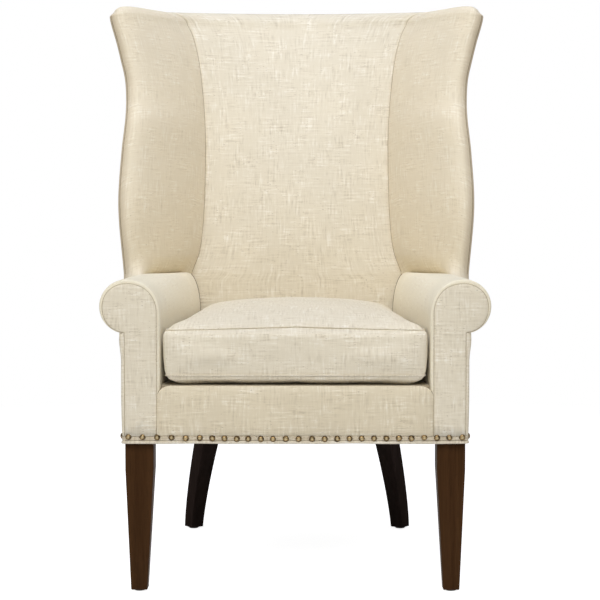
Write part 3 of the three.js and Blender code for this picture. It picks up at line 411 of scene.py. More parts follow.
def buildWeaveGroup(values):
    group, entry, result = newGroup(
        "linen weave",
        [
            ("Vector", "NodeSocketVector", None),
            ("Cloth Color", "NodeSocketColor", (0.7, 0.65, 0.52, 1)),
            ("Slub Color", "NodeSocketColor", (0.8, 0.76, 0.66, 1)),
            ("Fleck Color", "NodeSocketColor", (0.3, 0.22, 0.12, 1)),
            ("Contrast", "NodeSocketFloat", 1.0),
        ],
        [("Color", "NodeSocketColor"), ("Height", "NodeSocketFloat"), ("Roughness", "NodeSocketFloat")],
    )
    vector, contrast = entry.outputs["Vector"], entry.outputs["Contrast"]

    def times(first, second):
        return mathNode(group, "MULTIPLY", first, second)

    def plus(first, second):
        return mathNode(group, "ADD", first, second)

    split = addNode(group, "ShaderNodeSeparateXYZ")
    group.links.new(vector, split.inputs[0])
    turns = math.pi / values["thread"]
    warp, weft = [mathNode(group, "SINE", times(split.outputs[axis], turns)) for axis in (0, 1)]
    over = mathNode(group, "GREATER_THAN", times(warp, weft), 0.0)
    under = mathNode(group, "SUBTRACT", 1.0, over)
    threads = plus(times(mathNode(group, "ABSOLUTE", warp), over), times(mathNode(group, "ABSOLUTE", weft), under))
    thin, long = 1 / values["slubWidth"], 1 / values["slubLength"]
    fineThin, fineLong = thin * values["fineWidth"], long * values["fineLength"]
    patch = stretched(group, vector, values["patch"], 3.0)
    otherPatch = stretched(group, vector, values["otherPatch"], 2.0)
    runs = []
    for slub, fine, where in (  # the slubs that run across, then those that run up
        ((long, thin, 1), (fineLong, fineThin, 1), patch),
        ((thin, long, 1), (fineThin, fineLong, 1), otherPatch),
    ):
        coarse = remap(group, stretched(group, vector, slub, 1.0), 0.2, 0.8, -1, 1)
        finer = times(remap(group, stretched(group, vector, fine, 0.0), 0.2, 0.8, -1, 1), values["fineShare"])
        runs.append(times(plus(coarse, finer), remap(group, where, 0.38, 0.66, 0.3, 1.3)))
    lines = times(plus(*runs), contrast)
    light = remap(group, lines, 0.1, 1.15, 0, 1)
    dark = remap(group, lines, -0.1, -1.3, 0, values["darkest"])
    fleck = stretched(group, vector, (1 / values["fleckLength"], 1 / values["fleckWidth"], 1), 0.0)
    fleck = times(fleck, remap(group, patch, 0.4, 0.75, 0.9, 1.12))
    fleck = times(remap(group, fleck, 0.735, 0.8, 0, values["fleckDark"]), contrast)
    color = blendColors(group, light, entry.outputs["Cloth Color"], entry.outputs["Slub Color"])
    color = blendColors(group, mathNode(group, "MAXIMUM", dark, fleck), color, entry.outputs["Fleck Color"])
    broad = stretched(group, vector, values["broad"], 2.0)
    value = times(remap(group, broad, 0.3, 0.7, 0.965, 1.03), remap(group, patch, 0.3, 0.7, 0.985, 1.015))
    level = addNode(group, "ShaderNodeCombineColor")
    for socket, tint in zip(level.inputs, values["tint"]):
        group.links.new(times(value, tint), socket)
    color = blendColors(group, 1.0, color, level.outputs[0], "MULTIPLY")
    height = plus(times(threads, values["threadRelief"]), times(lines, values["slubRelief"]))
    roughness = remap(group, lines, -1, 1, 0.94, 0.84)
    for label, output in (("Color", color), ("Height", height), ("Roughness", roughness)):
        group.links.new(output, result.inputs[label])
    return group


weaveGroup = buildWeaveGroup(weave)


def newMaterial(name):
    material = bpy.data.materials.new(name)
    material.use_nodes = True
    tree = material.node_tree
    return material, tree, tree.nodes["Principled BSDF"]


def linenMaterial(name, cloth, slub, fleck, bump=0.0004, sheen=0.18, contrast=1.0):
    material, tree, shader = newMaterial(name)
    place = addNode(tree, "ShaderNodeUVMap", uv_map="cloth")
    cover = addNode(tree, "ShaderNodeGroup", node_tree=weaveGroup)
    tree.links.new(place.outputs[0], cover.inputs["Vector"])
    for socket, value in zip(cover.inputs[1:], (cloth, slub, fleck, contrast)):
        feed(tree, socket, value)
    color, height, rough = cover.outputs
    finishSurface(tree, shader, color, rough, height, 0.55, bump)
    shader.inputs["Specular IOR Level"].default_value = 0.22
    shader.inputs["Sheen Weight"].default_value = sheen
    shader.inputs["Sheen Roughness"].default_value = 0.45
    shader.inputs["Sheen Tint"].default_value = (1.0, 0.96, 0.88, 1)
    return material


def paintEdgeShade(material, low, high, tint):  # paints shade into a cloth's colour from low to high along it, where its pad turns away from the light
    tree = material.node_tree
    color = tree.nodes["Principled BSDF"].inputs["Base Color"]
    split = addNode(tree, "ShaderNodeSeparateXYZ")
    tree.links.new(addNode(tree, "ShaderNodeUVMap", uv_map="cloth").outputs[0], split.inputs[0])
    turning = remap(tree, split.outputs[0], low, high)
    tree.links.new(blendColors(tree, turning, color.links[0].from_socket, tint, "MULTIPLY"), color)


woodGrain = {"grain": (70, 70, 3.2), "pores": (900, 900, 28), "slow": (6, 6, 3), "poreDepth": 0.6}


def woodMaterial(name, dark, light, roughness, gloss=0.3):
    material, tree, shader = newMaterial(name)
    grain = onObject(tree, woodGrain["grain"], 5.0, 0.62)
    pores = onObject(tree, woodGrain["pores"], 1.0)
    slow = onObject(tree, woodGrain["slow"], 2.0)
    slow, pits = remap(tree, slow, 0.3, 0.7, 0.82, 1.15), remap(tree, pores, 0.3, 0.5, 0.8, 1.0)
    shade = addNode(tree, "ShaderNodeCombineColor")
    for socket in shade.inputs:
        tree.links.new(mathNode(tree, "MULTIPLY", slow, pits), socket)
    color = blendColors(tree, remap(tree, grain, 0.3, 0.72), dark, light)
    color = blendColors(tree, 1.0, color, shade.outputs[0], "MULTIPLY")
    rough = remap(tree, grain, 0.3, 0.7, roughness + 0.06, roughness - 0.04)
    height = mathNode(tree, "ADD", grain, mathNode(tree, "MULTIPLY", pores, woodGrain["poreDepth"]))
    finishSurface(tree, shader, color, rough, height, 0.25, 0.0003)
    shader.inputs["Specular IOR Level"].default_value = gloss
    return material


def metalMaterial(name, base, shadow, roughness, crown=None):
    material, tree, shader = newMaterial(name)
    tarnish = onObject(tree, (220, 220, 220), 3.0)
    color = blendColors(tree, remap(tree, tarnish, 0.42, 0.66), base, shadow)
    if crown:  # painted reflection: the top of each dome is painted bright as a highlight and its rim dark as reflected shade
        domeGlint = addNode(tree, "ShaderNodeAttribute", attribute_name="domeGlint").outputs["Fac"]
        color = blendColors(tree, remap(tree, domeGlint, 0.0, 0.6, 1, 0), color, shadow)
        color = blendColors(tree, remap(tree, domeGlint, 0.84, 1.0), color, crown)
    rough = remap(tree, tarnish, 0.35, 0.7, roughness - 0.06, roughness + 0.2)
    finishSurface(tree, shader, color, rough, tarnish, 0.3, 0.0002)
    shader.inputs["Metallic"].default_value = 1.0
    return material


def plasticMaterial(name, dark, light):
    material, tree, shader = newMaterial(name)
    cloud = onObject(tree, (300, 300, 300), 2.0)
    tree.links.new(blendColors(tree, remap(tree, cloud, 0.3, 0.7), dark, light), shader.inputs["Base Color"])
    tree.links.new(remap(tree, cloud, 0.3, 0.7, 0.45, 0.6), shader.inputs["Roughness"])
    return material


linen = linenMaterial("cream linen", (0.740, 0.668, 0.522), (0.86, 0.81, 0.70), (0.33, 0.25, 0.15), contrast=0.78)
# painted light: the wing cloth is a warmer copy of the cream linen, standing in for warm bounce light in the wings'
# shade
wingLinenPaintedBounce = linenMaterial("wing linen painted bounce light", (0.765, 0.674, 0.505), (0.86, 0.81, 0.68), (0.42, 0.33, 0.2), contrast=0.65)
# painted light: the inside arms' cloth is a lighter copy of the linen, standing in for light their recessed faces lack
armLinenPaintedLight = linenMaterial("arm linen painted light", (0.815, 0.745, 0.575), (0.88, 0.84, 0.71), (0.45, 0.36, 0.24), contrast=0.5)
# painted shade: the front border's cloth is a darker, warmer copy of the linen, for the shade below the cushion
borderLinenPaintedShade = linenMaterial("border linen painted shade", (0.705, 0.618, 0.452), (0.84, 0.78, 0.65), (0.33, 0.25, 0.15), contrast=0.78)
weltLinen = linenMaterial("linen welt", (0.72, 0.645, 0.505), (0.84, 0.79, 0.68), (0.36, 0.28, 0.17), 0.0003)
# painted shade: the base band's cloth is darker, for the shade under the border's bulge
bandLinenPaintedShade = linenMaterial("band linen painted shade", (0.60, 0.52, 0.385), (0.74, 0.68, 0.56), (0.3, 0.22, 0.13), 0.0003)
decking = linenMaterial("deck cloth", (0.5, 0.43, 0.31), (0.6, 0.54, 0.42), (0.3, 0.24, 0.16))
jute = linenMaterial("jute webbing", (0.34, 0.25, 0.13), (0.46, 0.36, 0.2), (0.14, 0.1, 0.05), 0.0008)
cambric = linenMaterial("black cambric", (0.012,) * 3, (0.02,) * 3, (0.005,) * 3, 0.0003, 0.05)
# the seam threads are real stitched seams, painted a darker tan for the shade in their grooves
seamThreadPaintedShade = linenMaterial("seam thread painted shade", (0.42, 0.34, 0.22), (0.5, 0.42, 0.29), (0.25, 0.18, 0.1), 0.0002)
# painted shade: a dark cord laid along creases, gaps and edge seams where only shade falls
creaseShadeLine = linenMaterial("crease shade line", (0.24, 0.18, 0.11), (0.3, 0.23, 0.15), (0.14, 0.1, 0.06), 0.0002)
stainedWood = woodMaterial("walnut stain", (0.040, 0.0168, 0.0056), (0.073, 0.0330, 0.0120), 0.46, 0.03)
# painted shade: the back legs are a darker copy of the walnut stain, for the shade they stand in
woodPaintedShade = woodMaterial("walnut stain painted shade", (0.027, 0.0185, 0.0150), (0.045, 0.0305, 0.0255), 0.6, 0.0)
frameWood = woodMaterial("frame timber", (0.3, 0.17, 0.07), (0.5, 0.33, 0.17), 0.7)
# painted highlight: brass's last colour is the bright highlight painted on each nail's dome top
brass = metalMaterial("antique brass", (0.20, 0.135, 0.062), (0.040, 0.026, 0.013), 0.27, (0.42, 0.34, 0.20))
springSteel = metalMaterial("spring wire", (0.36, 0.37, 0.38), (0.16, 0.16, 0.17), 0.38)
glidePlastic = plasticMaterial("glide plastic", (0.03, 0.024, 0.02), (0.055, 0.046, 0.038))
print("finishes made")

# Frame pieces that keep their own shape
finishes = {
    "seat_spring": springSteel, "back_web": jute, "front_leg": stainedWood, "back_leg": woodPaintedShade,
    "glide": glidePlastic, "dust_cover": cambric,
}
for name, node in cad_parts.items():
    finish = next((finishes[start] for start in finishes if name.startswith(start)), frameWood)
    node.data.materials.clear()
    node.data.materials.append(finish)
for name in ("back_web_1", "back_web_2", "back_web_3"):
    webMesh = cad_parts[name].data
    webMesh.uv_layers.new(name="cloth")
    for loop, spot in zip(webMesh.loops, webMesh.uv_layers["cloth"].data):
        corner = webMesh.vertices[loop.vertex_index].co
        spot.uv = (corner.x, corner.z)

# Legs
frontLeg = {
    "top": 0.0526, "foot": 0.0300, "taperFrom": 0.230, "footZ": 0.0033, "topGap": 0.001, "out": 0.0036,
    "forward": 0.0021, "splayOut": 0.0018, "splayForward": 0.0057, "edge": 0.0016,
}
backLeg = {
    "top": 0.040, "foot": 0.0305, "taperFrom": 0.197, "sweep": 0.0862, "sabre": 1.35, "inset": 0.0138,
    "legTop": 0.279, "footZ": 0.0033, "topGap": 0.001, "edge": 0.0014, "steps": 22,
}


def squareRing(centre, size, turn):
    out, side = Vector((math.cos(turn), math.sin(turn), 0)), Vector((-math.sin(turn), math.cos(turn), 0))
    corners = ((1, 1), (-1, 1), (-1, -1), (1, -1))
    return [centre + (out * a + side * b) * size / 2 for a, b in corners]


def squareLeg(name, node, rings, material, edge):
    bm = stackLoops(rings)
    sharp = [e for e in bm.edges if e.calc_face_angle(0) > math.radians(40)]
    bmesh.ops.bevel(bm, geom=sharp, offset=edge, affect="EDGES", segments=3, profile=0.5, material=-1)
    piece = makePiece(name, bm, material, stands=(node,))
    piece.data.set_sharp_from_angle(angle=math.radians(40))


def makeFrontLeg(side, word):
    low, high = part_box("front_leg_" + word)
    centre = (low + high) / 2
    rings = []
    for z in [frontLeg["footZ"], *spread(0.02, frontLeg["taperFrom"], 8), high.z - frontLeg["topGap"]]:
        share = clampShare(z / frontLeg["taperFrom"])
        x = centre.x + side * (frontLeg["out"] + frontLeg["splayOut"] * (1 - share))
        y = centre.y - frontY - frontLeg["forward"] - frontLeg["splayForward"] * (1 - share)
        spot = Vector((x, y, z))
        rings.append(squareRing(spot, mix(frontLeg["foot"], frontLeg["top"], share), 0))
    squareLeg("show_leg_front_" + word, "front_leg_" + word, rings, stainedWood, frontLeg["edge"])


def makeBackLeg(side, word):
    z0 = backLeg["legTop"]
    out = outwardAt(plan["cornerShare"], z0)
    start = outside(plan["cornerShare"], z0, backLeg["inset"] + backLeg["top"] / 2)
    turn = math.atan2(out.y, out.x)
    if side < 0:
        out, start, turn = Vector((-out.x, out.y, 0)), Vector((-start.x, start.y, z0)), math.pi - turn
    rings = []
    for z in [*spread(backLeg["footZ"], z0, backLeg["steps"]), plan["railTop"] - backLeg["topGap"]]:
        drop = clampShare(1 - z / z0)
        spot = Vector((start.x, start.y, z)) + out * backLeg["sweep"] * (1 - (1 - drop) ** backLeg["sabre"])
        size = mix(backLeg["foot"], backLeg["top"], clampShare(z / backLeg["taperFrom"]))
        rings.append(squareRing(spot, size, turn))
    squareLeg("show_leg_back_" + word, "back_leg_" + word, rings, woodPaintedShade, backLeg["edge"])


bothSides(makeFrontLeg)
bothSides(makeBackLeg)

glide = {"radius": 0.011, "rim": 0.0016, "height": 0.0029, "sides": 32}


def makeGlide(node):
    low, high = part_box(node)
    centre = (low + high) / 2
    bm = bmesh.new()
    r, rim, h = glide["radius"], glide["rim"], glide["height"]
    profile = [(0, 0), (r - rim, 0), (r - rim * 0.3, rim * 0.3), (r, rim), (r, h), (0, h)]
    verts = [bm.verts.new((x, 0, z)) for x, z in profile]
    edges = [bm.edges.new(pair) for pair in zip(verts, verts[1:])]
    turn = {"cent": (0, 0, 0), "axis": (0, 0, 1), "angle": math.tau, "steps": glide["sides"]}
    bmesh.ops.spin(bm, geom=verts + edges, use_merge=True, **turn)
    bmesh.ops.remove_doubles(bm, verts=bm.verts, dist=1e-5)
    bmesh.ops.translate(bm, verts=bm.verts, vec=(centre.x, centre.y - frontY, 0))
    piece = makePiece("show_" + node, bm, glidePlastic, stands=(node,))
    piece.data.set_sharp_from_angle(angle=math.radians(50))


for node in ("glide_front_right", "glide_front_left", "glide_back_right", "glide_back_left"):
    makeGlide(node)
print("legs and glides made")

# Inside back and wings
back = {
    "seatDepth": 0.545, "seamHalf": 0.200, "seamLean": 0.110, "dish": 0.062, "fullness": 0.012, "bottom": 0.3895,
    "wall": 0.010, "tucked": 0.022, "seamGroove": 0.0020, "seamWidth": 0.0022, "thread": 0.0006,
    "midRise": 1.13, "columns": 84, "rows": 120, "uneven": 0.0016,
}
seamWidthShares = [
    (0, 1.13), (0.08, 1.05), (0.22, 1.01), (0.46, 0.997), (0.61, 1.015),
    (0.76, 1.06), (0.84, 1.1), (0.91, 1.16), (0.96, 1.24), (1, 1.34),
]
dishShares = [(0, 0), (0.3, 0.06), (0.6, 0.36), (1, 1)]
fullnessShares = [(0, 0), (0.12, 0.7), (0.4, 1), (0.8, 0.6), (1, 0)]
wing = {
    "thickness": 0.046, "noseOut": 0.023, "noseForward": 0.016, "handle": 0.032, "fullness": 0.010, "bend": 0.55,
    "faceShare": 0.68, "faceEase": 1.5, "rowEase": 1.8, "wall": 0.0025, "columns": 88, "rows": 130,
    "filletReach": 0.036, "filletHeight": 0.044, "filletTurn": (2.2, 3.0), "frontFrom": 0.42, "frontTo": 0.78,
    "tuck": 0.026, "sink": 0.004, "seamSink": 0.012, "frontSink": 0.0005, "uneven": 0.0012,
    # shadeFrom, shadeTo and shade: the band and tint of painted shade along the wing's front edge
    "shadeFrom": 0.042, "shadeTo": 0.004, "shade": (0.80, 0.73, 0.64),
}
wingThreads = {
    "seamFrom": 0.12, "seamSink": 0.4, "edge": 0.79, "edgeFrom": 0.14, "proud": 0.0002,
    "footRun": (0.1, 0.46), "footAhead": 0.0006, "thin": 0.8,
}
wingRiseShares = [(0, 0.80), (0.3, 0.76), (0.5, 0.755), (0.7, 0.745), (0.85, 0.80), (0.93, 0.67), (1, 0.30)]
arm = {
    "innerFront": 0.250, "innerRear": 0.208, "shoulderWide": (0.058, 0.029), "shoulderHigh": (0.062, 0.085),
    "rollRadius": 0.050, "rollShrink": 0.024, "rollX": 0.3114, "rollZ": 0.533, "rollEnd": math.radians(-82),
    "edge": 0.0046, "bottom": 0.3885, "frontBottom": 0.370, "tuckFrom": 0.372, "tuckLength": 0.062, "wall": 0.0025,
    "columns": 96, "rows": 104, "rowEase": 1.6, "rimShare": 0.12, "rearPast": 0.004, "rearRound": 0.012,
    "rearStart": 0.67, "crease": 0.0011, "creaseFrom": 0.44, "uneven": 0.0012, "shellFrom": 0.26, "insideShell": 0.012,
}


def seamAt(z):
    share = heightShare(z)
    tucked = back["tucked"] * smoothStep(plan["armTop"] - z, 0.002, 0.02)  # behind the arm the cover runs on outwards
    half = back["seamHalf"] * followShares(seamWidthShares, share) + tucked
    return Vector((half, back["seatDepth"] + back["seamLean"] * share, z))


def seamDip(distance):
    return back["seamGroove"] * math.exp(-((distance / back["seamWidth"]) ** 2))


def seamInward(z, roll):  # straight into the frame from the seam between back and wing
    splay = wingEdge(z)[2]
    level = Vector((math.cos(splay), 1 + math.sin(splay), 0)).normalized()
    return level * math.cos(roll) - Vector((0, 0, math.sin(roll)))


def backSurface(across, z):
    edge, share = seamAt(z), heightShare(z)
    inward = 1 - across * across
    dish = back["dish"] * followShares(dishShares, share)
    y = edge.y + (dish - back["fullness"] * followShares(fullnessShares, share)) * inward
    return Vector((edge.x * across, y, z))


def rollOver(start, angle):  # how far a pad reaches outwards and up as it rolls over the frame's top
    half = (1 - start) / 2
    return 1 - half - half * math.cos(angle), half**0.7 * math.sin(angle)


topRows = 0.17  # the share of the rows that roll over the top


def rollAngle(v):
    return math.pi * clampShare((v - 1 + topRows) / topRows)


def backPoint(u, v):
    across = math.sin(math.pi * (u - 0.5))
    roll = rollAngle(v)
    z = mix(back["bottom"], roundBottom, clampShare(v / (1 - topRows)))
    point = backSurface(across, z)
    if roll > 0:
        reach, lift = rollOver(-1, roll)
        point = point.lerp(outside(plan["seamShare"] * across, roundBottom), (reach + 1) / 2)
        point.z += plan["topRound"] * lift * mix(back["midRise"], wingRiseShares[0][1], across**2)
    inward = seamInward(z, roll)
    inward.x = math.copysign(inward.x, across * inward.x)
    point.y += soft(point, back["uneven"], seed=3.0, scale=6.0) * smoothStep(1 - abs(across), 0, 0.08)
    return point + inward * seamDip((1 - abs(across)) * seamAt(z).x)


def rollTopAt(x):
    across = min(max(x - arm["rollX"], 0), arm["rollRadius"])
    return arm["rollZ"] + math.sqrt(max(arm["rollRadius"] ** 2 - across * across, 0.0))


def armUneven(point):
    level = Vector((point.x, point.y, plan["armTop"]))
    return soft(level, arm["uneven"], seed=21.0, scale=9.0) * smoothStep(point.y, 0.02, 0.08)


def wingFace(u, z):  # across the wing's face from the seam, then round its front edge
    edgeX, edgeY, splay = wingEdge(z)
    out = Vector((math.cos(splay), math.sin(splay), 0))
    forward = Vector((math.sin(splay), -math.cos(splay), 0))
    edge = Vector((edgeX, edgeY, z))
    if u > wing["faceShare"]:
        angle = math.pi / 2 * (u - wing["faceShare"]) / (1 - wing["faceShare"])
        point = edge - out * wing["noseOut"] * (1 - math.sin(angle)) + forward * wing["noseForward"] * math.cos(angle)
        return point, out, 1.0, math.pi / 2 + angle
    along = (u / wing["faceShare"]) ** wing["faceEase"]
    seam = seamAt(z)
    nose = edge - out * wing["noseOut"] + forward * wing["noseForward"]
    belly = seam.lerp(edge - out * wing["thickness"], wing["bend"]) - out * wing["fullness"]
    point = bezier(seam, belly, nose - out * wing["handle"], nose, along)
    return point, out, along, math.pi / 2 * smoothStep(along, 0.5, 1)


def wingBare(u, v):
    foot, _, along, turn = wingFace(u, plan["armTop"])
    front = smoothStep(along, wing["frontFrom"], wing["frontTo"])
    sink = wing["sink"] + wing["seamSink"] * (1 - smoothStep(along, 0, 0.15))
    ahead = Vector((0, -wing["filletReach"] * front * (1 - smoothStep(turn, *wing["filletTurn"])), 0))
    low = rollTopAt(foot.x) + armUneven(foot + ahead) - mix(sink, wing["frontSink"], front)
    high = roundBottom - plan["earDrop"] * smoothStep(turn, math.pi / 2, math.pi)
    z = mix(low, high, clampShare(v / (1 - topRows)) ** wing["rowEase"])
    point, out, along, turn = wingFace(u, z)
    down = clampShare(1 - (z - low) / wing["filletHeight"])
    curve = 1 - math.sqrt(max(1 - down * down, 0.0))
    point += ahead * curve + out * wing["tuck"] * curve * (1 - front) * smoothStep(along, 0, 0.12)
    roll = rollAngle(v)
    if roll > 0 and turn < 3.14:
        reach, lift = rollOver(-math.cos(turn), roll)
        share = (reach + math.cos(turn)) / (1 + math.cos(turn))
        place = mix(plan["seamShare"], 1, along)
        point = point.lerp(outside(place, topAt(place)), share)
        point.z += plan["topRound"] * lift * followShares(wingRiseShares, along)
    return point, out, along


def wingPoint(u, v):
    point, out, along = wingBare(u, v)
    seam = wingBare(0.0, v)[0]
    point += out * soft(point, wing["uneven"], seed=11.0, scale=6.0) * math.sin(math.pi * min(along, 0.9))
    return point + seamInward(point.z, rollAngle(v)) * seamDip((point - seam).length)


def makeInsideBack():
    bm = clothGrid(back["columns"], back["rows"], backPoint)
    piece = makeCover("inside_back", bm, linen, (0, 0.72, 0.8))
    giveWall(piece, back["wall"])


def makeInsideWing(side, word):
    bm = clothGrid(wing["columns"], wing["rows"], wingPoint, seed=0.7)
    piece = makeCover("inside_wing_" + word, bm, wingLinenPaintedBounce, (0.32, 0.56, 0.8), side)
    giveWall(piece, wing["wall"])


def makeWingThreads(values):
    seam = []  # between the back and the wing, a stitched seam painted dark for the shade in its groove
    for v in spread(values["seamFrom"], 1, 150):
        inward = seamInward(0.9, rollAngle(v)) * back["thread"] * values["seamSink"]
        seam.append(wingPoint(0.0, v) - inward)
    threadBothSides("seam_shade_back_", seam, back["thread"], seamThreadPaintedShade)
    proud = Vector((values["proud"], -values["proud"], 0))
    edge = [wingPoint(values["edge"], v) + proud for v in spread(values["edgeFrom"], 1 - topRows, 90)]
    # a dark cord of painted shade just inside the wing's front edge
    threadBothSides("seam_shade_wing_edge_", edge, back["thread"] * values["thin"], creaseShadeLine)
    foot = []  # where the wing sinks into the top of the arm, a dark cord of painted shade along the crease
    for u in spread(*values["footRun"], 50):
        x, y, _ = point = wingBare(u, 0.0)[0]
        foot.append(Vector((x, y - values["footAhead"], rollTopAt(x) + armUneven(point) + values["proud"])))
    threadBothSides("crease_shade_wing_", foot, arm["crease"] * values["thin"], creaseShadeLine)


makeInsideBack()
wingRun = runLengths([wingPoint(u, 0.5) for u in spread(0, 1, 60)])
wingEnd = 0.7 + wingRun[-1] / 2  # where the wing's cloth ends, counted along the cloth
# painted shade: the wing cloth darkens towards its rounded front edge
paintEdgeShade(wingLinenPaintedBounce, wingEnd - wing["shadeFrom"], wingEnd - wing["shadeTo"], wing["shade"])
bothSides(makeInsideWing)
makeWingThreads(wingThreads)
print("inside back and wings made")


# Arms
def armRun(y):
    return clampShare(y / back["seatDepth"])


def armInner(y):
    return mix(arm["innerFront"], arm["innerRear"], armRun(y))


def armSection(y, depth=0.0, foot=None, radius=None):
    wide = mix(*arm["shoulderWide"], armRun(y))
    high = mix(*arm["shoulderHigh"], armRun(y))
    radius = arm["rollRadius"] if radius is None else radius
    middle = arm["rollZ"] + arm["rollRadius"] - radius  # a smaller roll keeps its top
    radius -= depth
    inner = armInner(y)
    line = [Vector((inner + depth, y, z)) for z in spread(foot or arm["bottom"], plan["armTop"] - high, 10)]
    for angle in spread(math.pi, math.pi / 2, 16)[1:]:
        x = inner + wide + (wide - depth) * math.cos(angle)
        line.append(Vector((x, y, plan["armTop"] - high + (high - depth) * math.sin(angle))))
    for angle in spread(math.pi / 2, arm["rollEnd"], 28):
        line.append(Vector((arm["rollX"] + radius * math.cos(angle), y, middle + radius * math.sin(angle))))
    return line


armRim = [Vector((0.0125, 0.0034, 0)), Vector((0.0094, 0.0014, 0)), Vector((0.0088, 0.0003, 0))]
armRim += [Vector((1 - math.sin(a), 1 - math.cos(a), 0)) * arm["edge"] for a in spread(0, math.pi / 2, 8)]
armRimLengths = runLengths(armRim)


def rearDepth(y):  # the pad rounds off where it meets the back
    run = clampShare((y - back["seatDepth"]) / arm["rearRound"] + arm["rearStart"])
    return arm["rearRound"] * (1 - math.sqrt(1 - run * run))


def shellHalf(y, z):  # half the width inside the outside covers
    edgeX, edgeY, _ = wingEdge(z)
    if y <= edgeY:
        return edgeX
    line = [outside(place, z) for place in spread(1, plan["cornerShare"], 12)]
    for near, far in zip(line, line[1:]):
        if far.y >= y:
            return mix(near.x, far.x, (y - near.y) / (far.y - near.y))
    return line[-1].x


def armPoint(u, v):
    if v < arm["rimShare"]:  # from behind the facing round the front edge
        depth, y, _ = alongLine(armRim, armRimLengths, v / arm["rimShare"])
    else:
        left = (1 - v) / (1 - arm["rimShare"])
        y = mix(back["seatDepth"] + arm["rearPast"], arm["edge"], left ** arm["rowEase"])
        depth = rearDepth(y)
    tuck = clampShare((y - arm["tuckFrom"]) / arm["tuckLength"])
    radius = arm["rollRadius"] - arm["rollShrink"] * smoothStep(tuck, 0, 1)
    foot = mix(arm["frontBottom"], arm["bottom"], smoothStep(y, 0.02, 0.06))
    hem = Vector((plan["bodyHalf"] - 0.004, y, plan["armLine"] - 0.002))
    line = armSection(y, depth, foot, radius) + [hem]
    point = alongLine(line, runLengths(line), u)
    if tuck > 0 and point.x > arm["shellFrom"]:
        within = min(point.x, shellHalf(y, point.z) - arm["insideShell"])
        point.x = mix(point.x, within, smoothStep(tuck, 0.1, 0.9))
    point.z += armUneven(point)
    return point


def makeInsideArm(side, word):
    bm = clothGrid(arm["columns"], arm["rows"], armPoint, seed=1.3)
    piece = makeCover("inside_arm_" + word, bm, armLinenPaintedLight, (0.31, 0.28, 0.5), side)
    giveWall(piece, arm["wall"])
    # a dark cord of painted shade along the crease where the arm meets the back
    y = back["seatDepth"] - 0.002
    section = armSection(y, rearDepth(y) * 0.6)
    crease = [p for p in section if p.z > arm["creaseFrom"] and p.x < arm["rollX"] - 0.03]
    weltAlong("crease_shade_arm_" + word, toSide(crease, side), arm["crease"], creaseShadeLine, sides=6)


facing = {
    "bottom": 0.2937, "edge": 0.0062, "outer": 0.3146, "back": 0.0045, "seamDepth": 0.0058, "weltDepth": 0.0047,
    "weltRadius": 0.0008, "thread": 0.0005, "topGap": 0.0022, "lowGap": 0.0038, "flankGap": 0.0006,
    "scrollReach": 0.02, "topRise": (0.012, 0.05), "topAcross": (0.262, 0.295),
    "puffs": [(0, 0), (0.0006, 0.0005), (0.002, 0.0010), (0.005, 0.0015), (0.01, 0.0019), (0.017, 0.0022)],
}


def facingLine(depth):
    line = armSection(0.0, depth, facing["bottom"])
    for p in line:  # the facing's scroll hangs a little below the arm's own
        away = Vector((p.x - arm["rollX"], 0, p.z - arm["rollZ"]))
        if p.x > arm["rollX"] - facing["scrollReach"] and away.z < 0:
            p += away.normalized() * facing["lowGap"] * smoothStep(-away.z / arm["rollRadius"], 0, 0.9)
        p.z -= facing["topGap"] * smoothStep(away.z, *facing["topRise"]) * smoothStep(p.x, *facing["topAcross"])
    flankX = facing["outer"] + facing["edge"] - depth
    return line + [Vector((flankX, 0, z)) for z in spread(line[-1].z - facing["flankGap"], facing["bottom"], 10)]


def puffedPanel(lineAt, puffs, y0):  # a flat padded panel: depths in from its edge with how far each stands out
    loops = [[Vector((p.x, y0, p.z)) for p in lineAt(0)]]
    for depth, rise in puffs:
        loops.append([Vector((p.x, -rise, p.z)) for p in lineAt(depth)])
    return stackLoops(loops)


def makeFacing(side, word):
    bm = puffedPanel(lambda depth: facingLine(facing["edge"] + depth), facing["puffs"], facing["back"])
    if side < 0:
        mirrorMesh(bm)
    bm.normal_update()
    layCloth(bm, 0.4 * side)
    piece = makePiece("cover_arm_facing_" + word, bm, linen, stands=("arm_facing_" + word,))
    # the stitched seam round the facing, painted dark for the shade in its groove
    seam = [Vector((p.x, 0.0001, p.z)) for p in facingLine(facing["seamDepth"])]
    weltAlong("seam_shade_facing_" + word, toSide(seam, side), facing["thread"], seamThreadPaintedShade, sides=6)
    inner = [p for p in facingLine(facing["weltDepth"]) if p.x < arm["innerFront"] + 0.02]
    welt = [p for p in inner if p.z < arm["rollZ"] + 0.01]
    weltAlong("welt_facing_" + word, toSide(welt, side), facing["weltRadius"], weltLinen)


bothSides(makeInsideArm)
bothSides(makeFacing)
print("arms made")

# Outside covers: back, wings with their arms below, and the welts between them
shell = {
    "bottom": 0.2937, "wall": 0.005, "puff": 0.0035, "uneven": 0.001, "frontRound": 0.0058, "weltRadius": 0.0016,
    "frontX": 0.3152, "joint": 0.483, "swell": 0.0045, "swellRise": (0.43, 0.475), "gap": 0.0006,
    "turnFrom": 0.94, "curveShare": 0.46,
}


def outsideBackPoint(u, v):
    place = mix(-plan["cornerShare"], plan["cornerShare"], u)
    z = mix(shell["bottom"], roundBottom, v)
    puff = shell["puff"] * (math.sin(math.pi * u) ** 0.5) * (math.sin(math.pi * clampShare(v)) ** 0.4)
    return outside(place, z, -puff - soft(Vector((place, 0, z)), shell["uneven"], seed=31.0, scale=5.0))


def makeOutsideBack():
    piece = makeCover("outside_back", clothGrid(56, 72, outsideBackPoint, seed=2.1), linen, (0, 0.3, 0.7))
    giveWall(piece, shell["wall"])


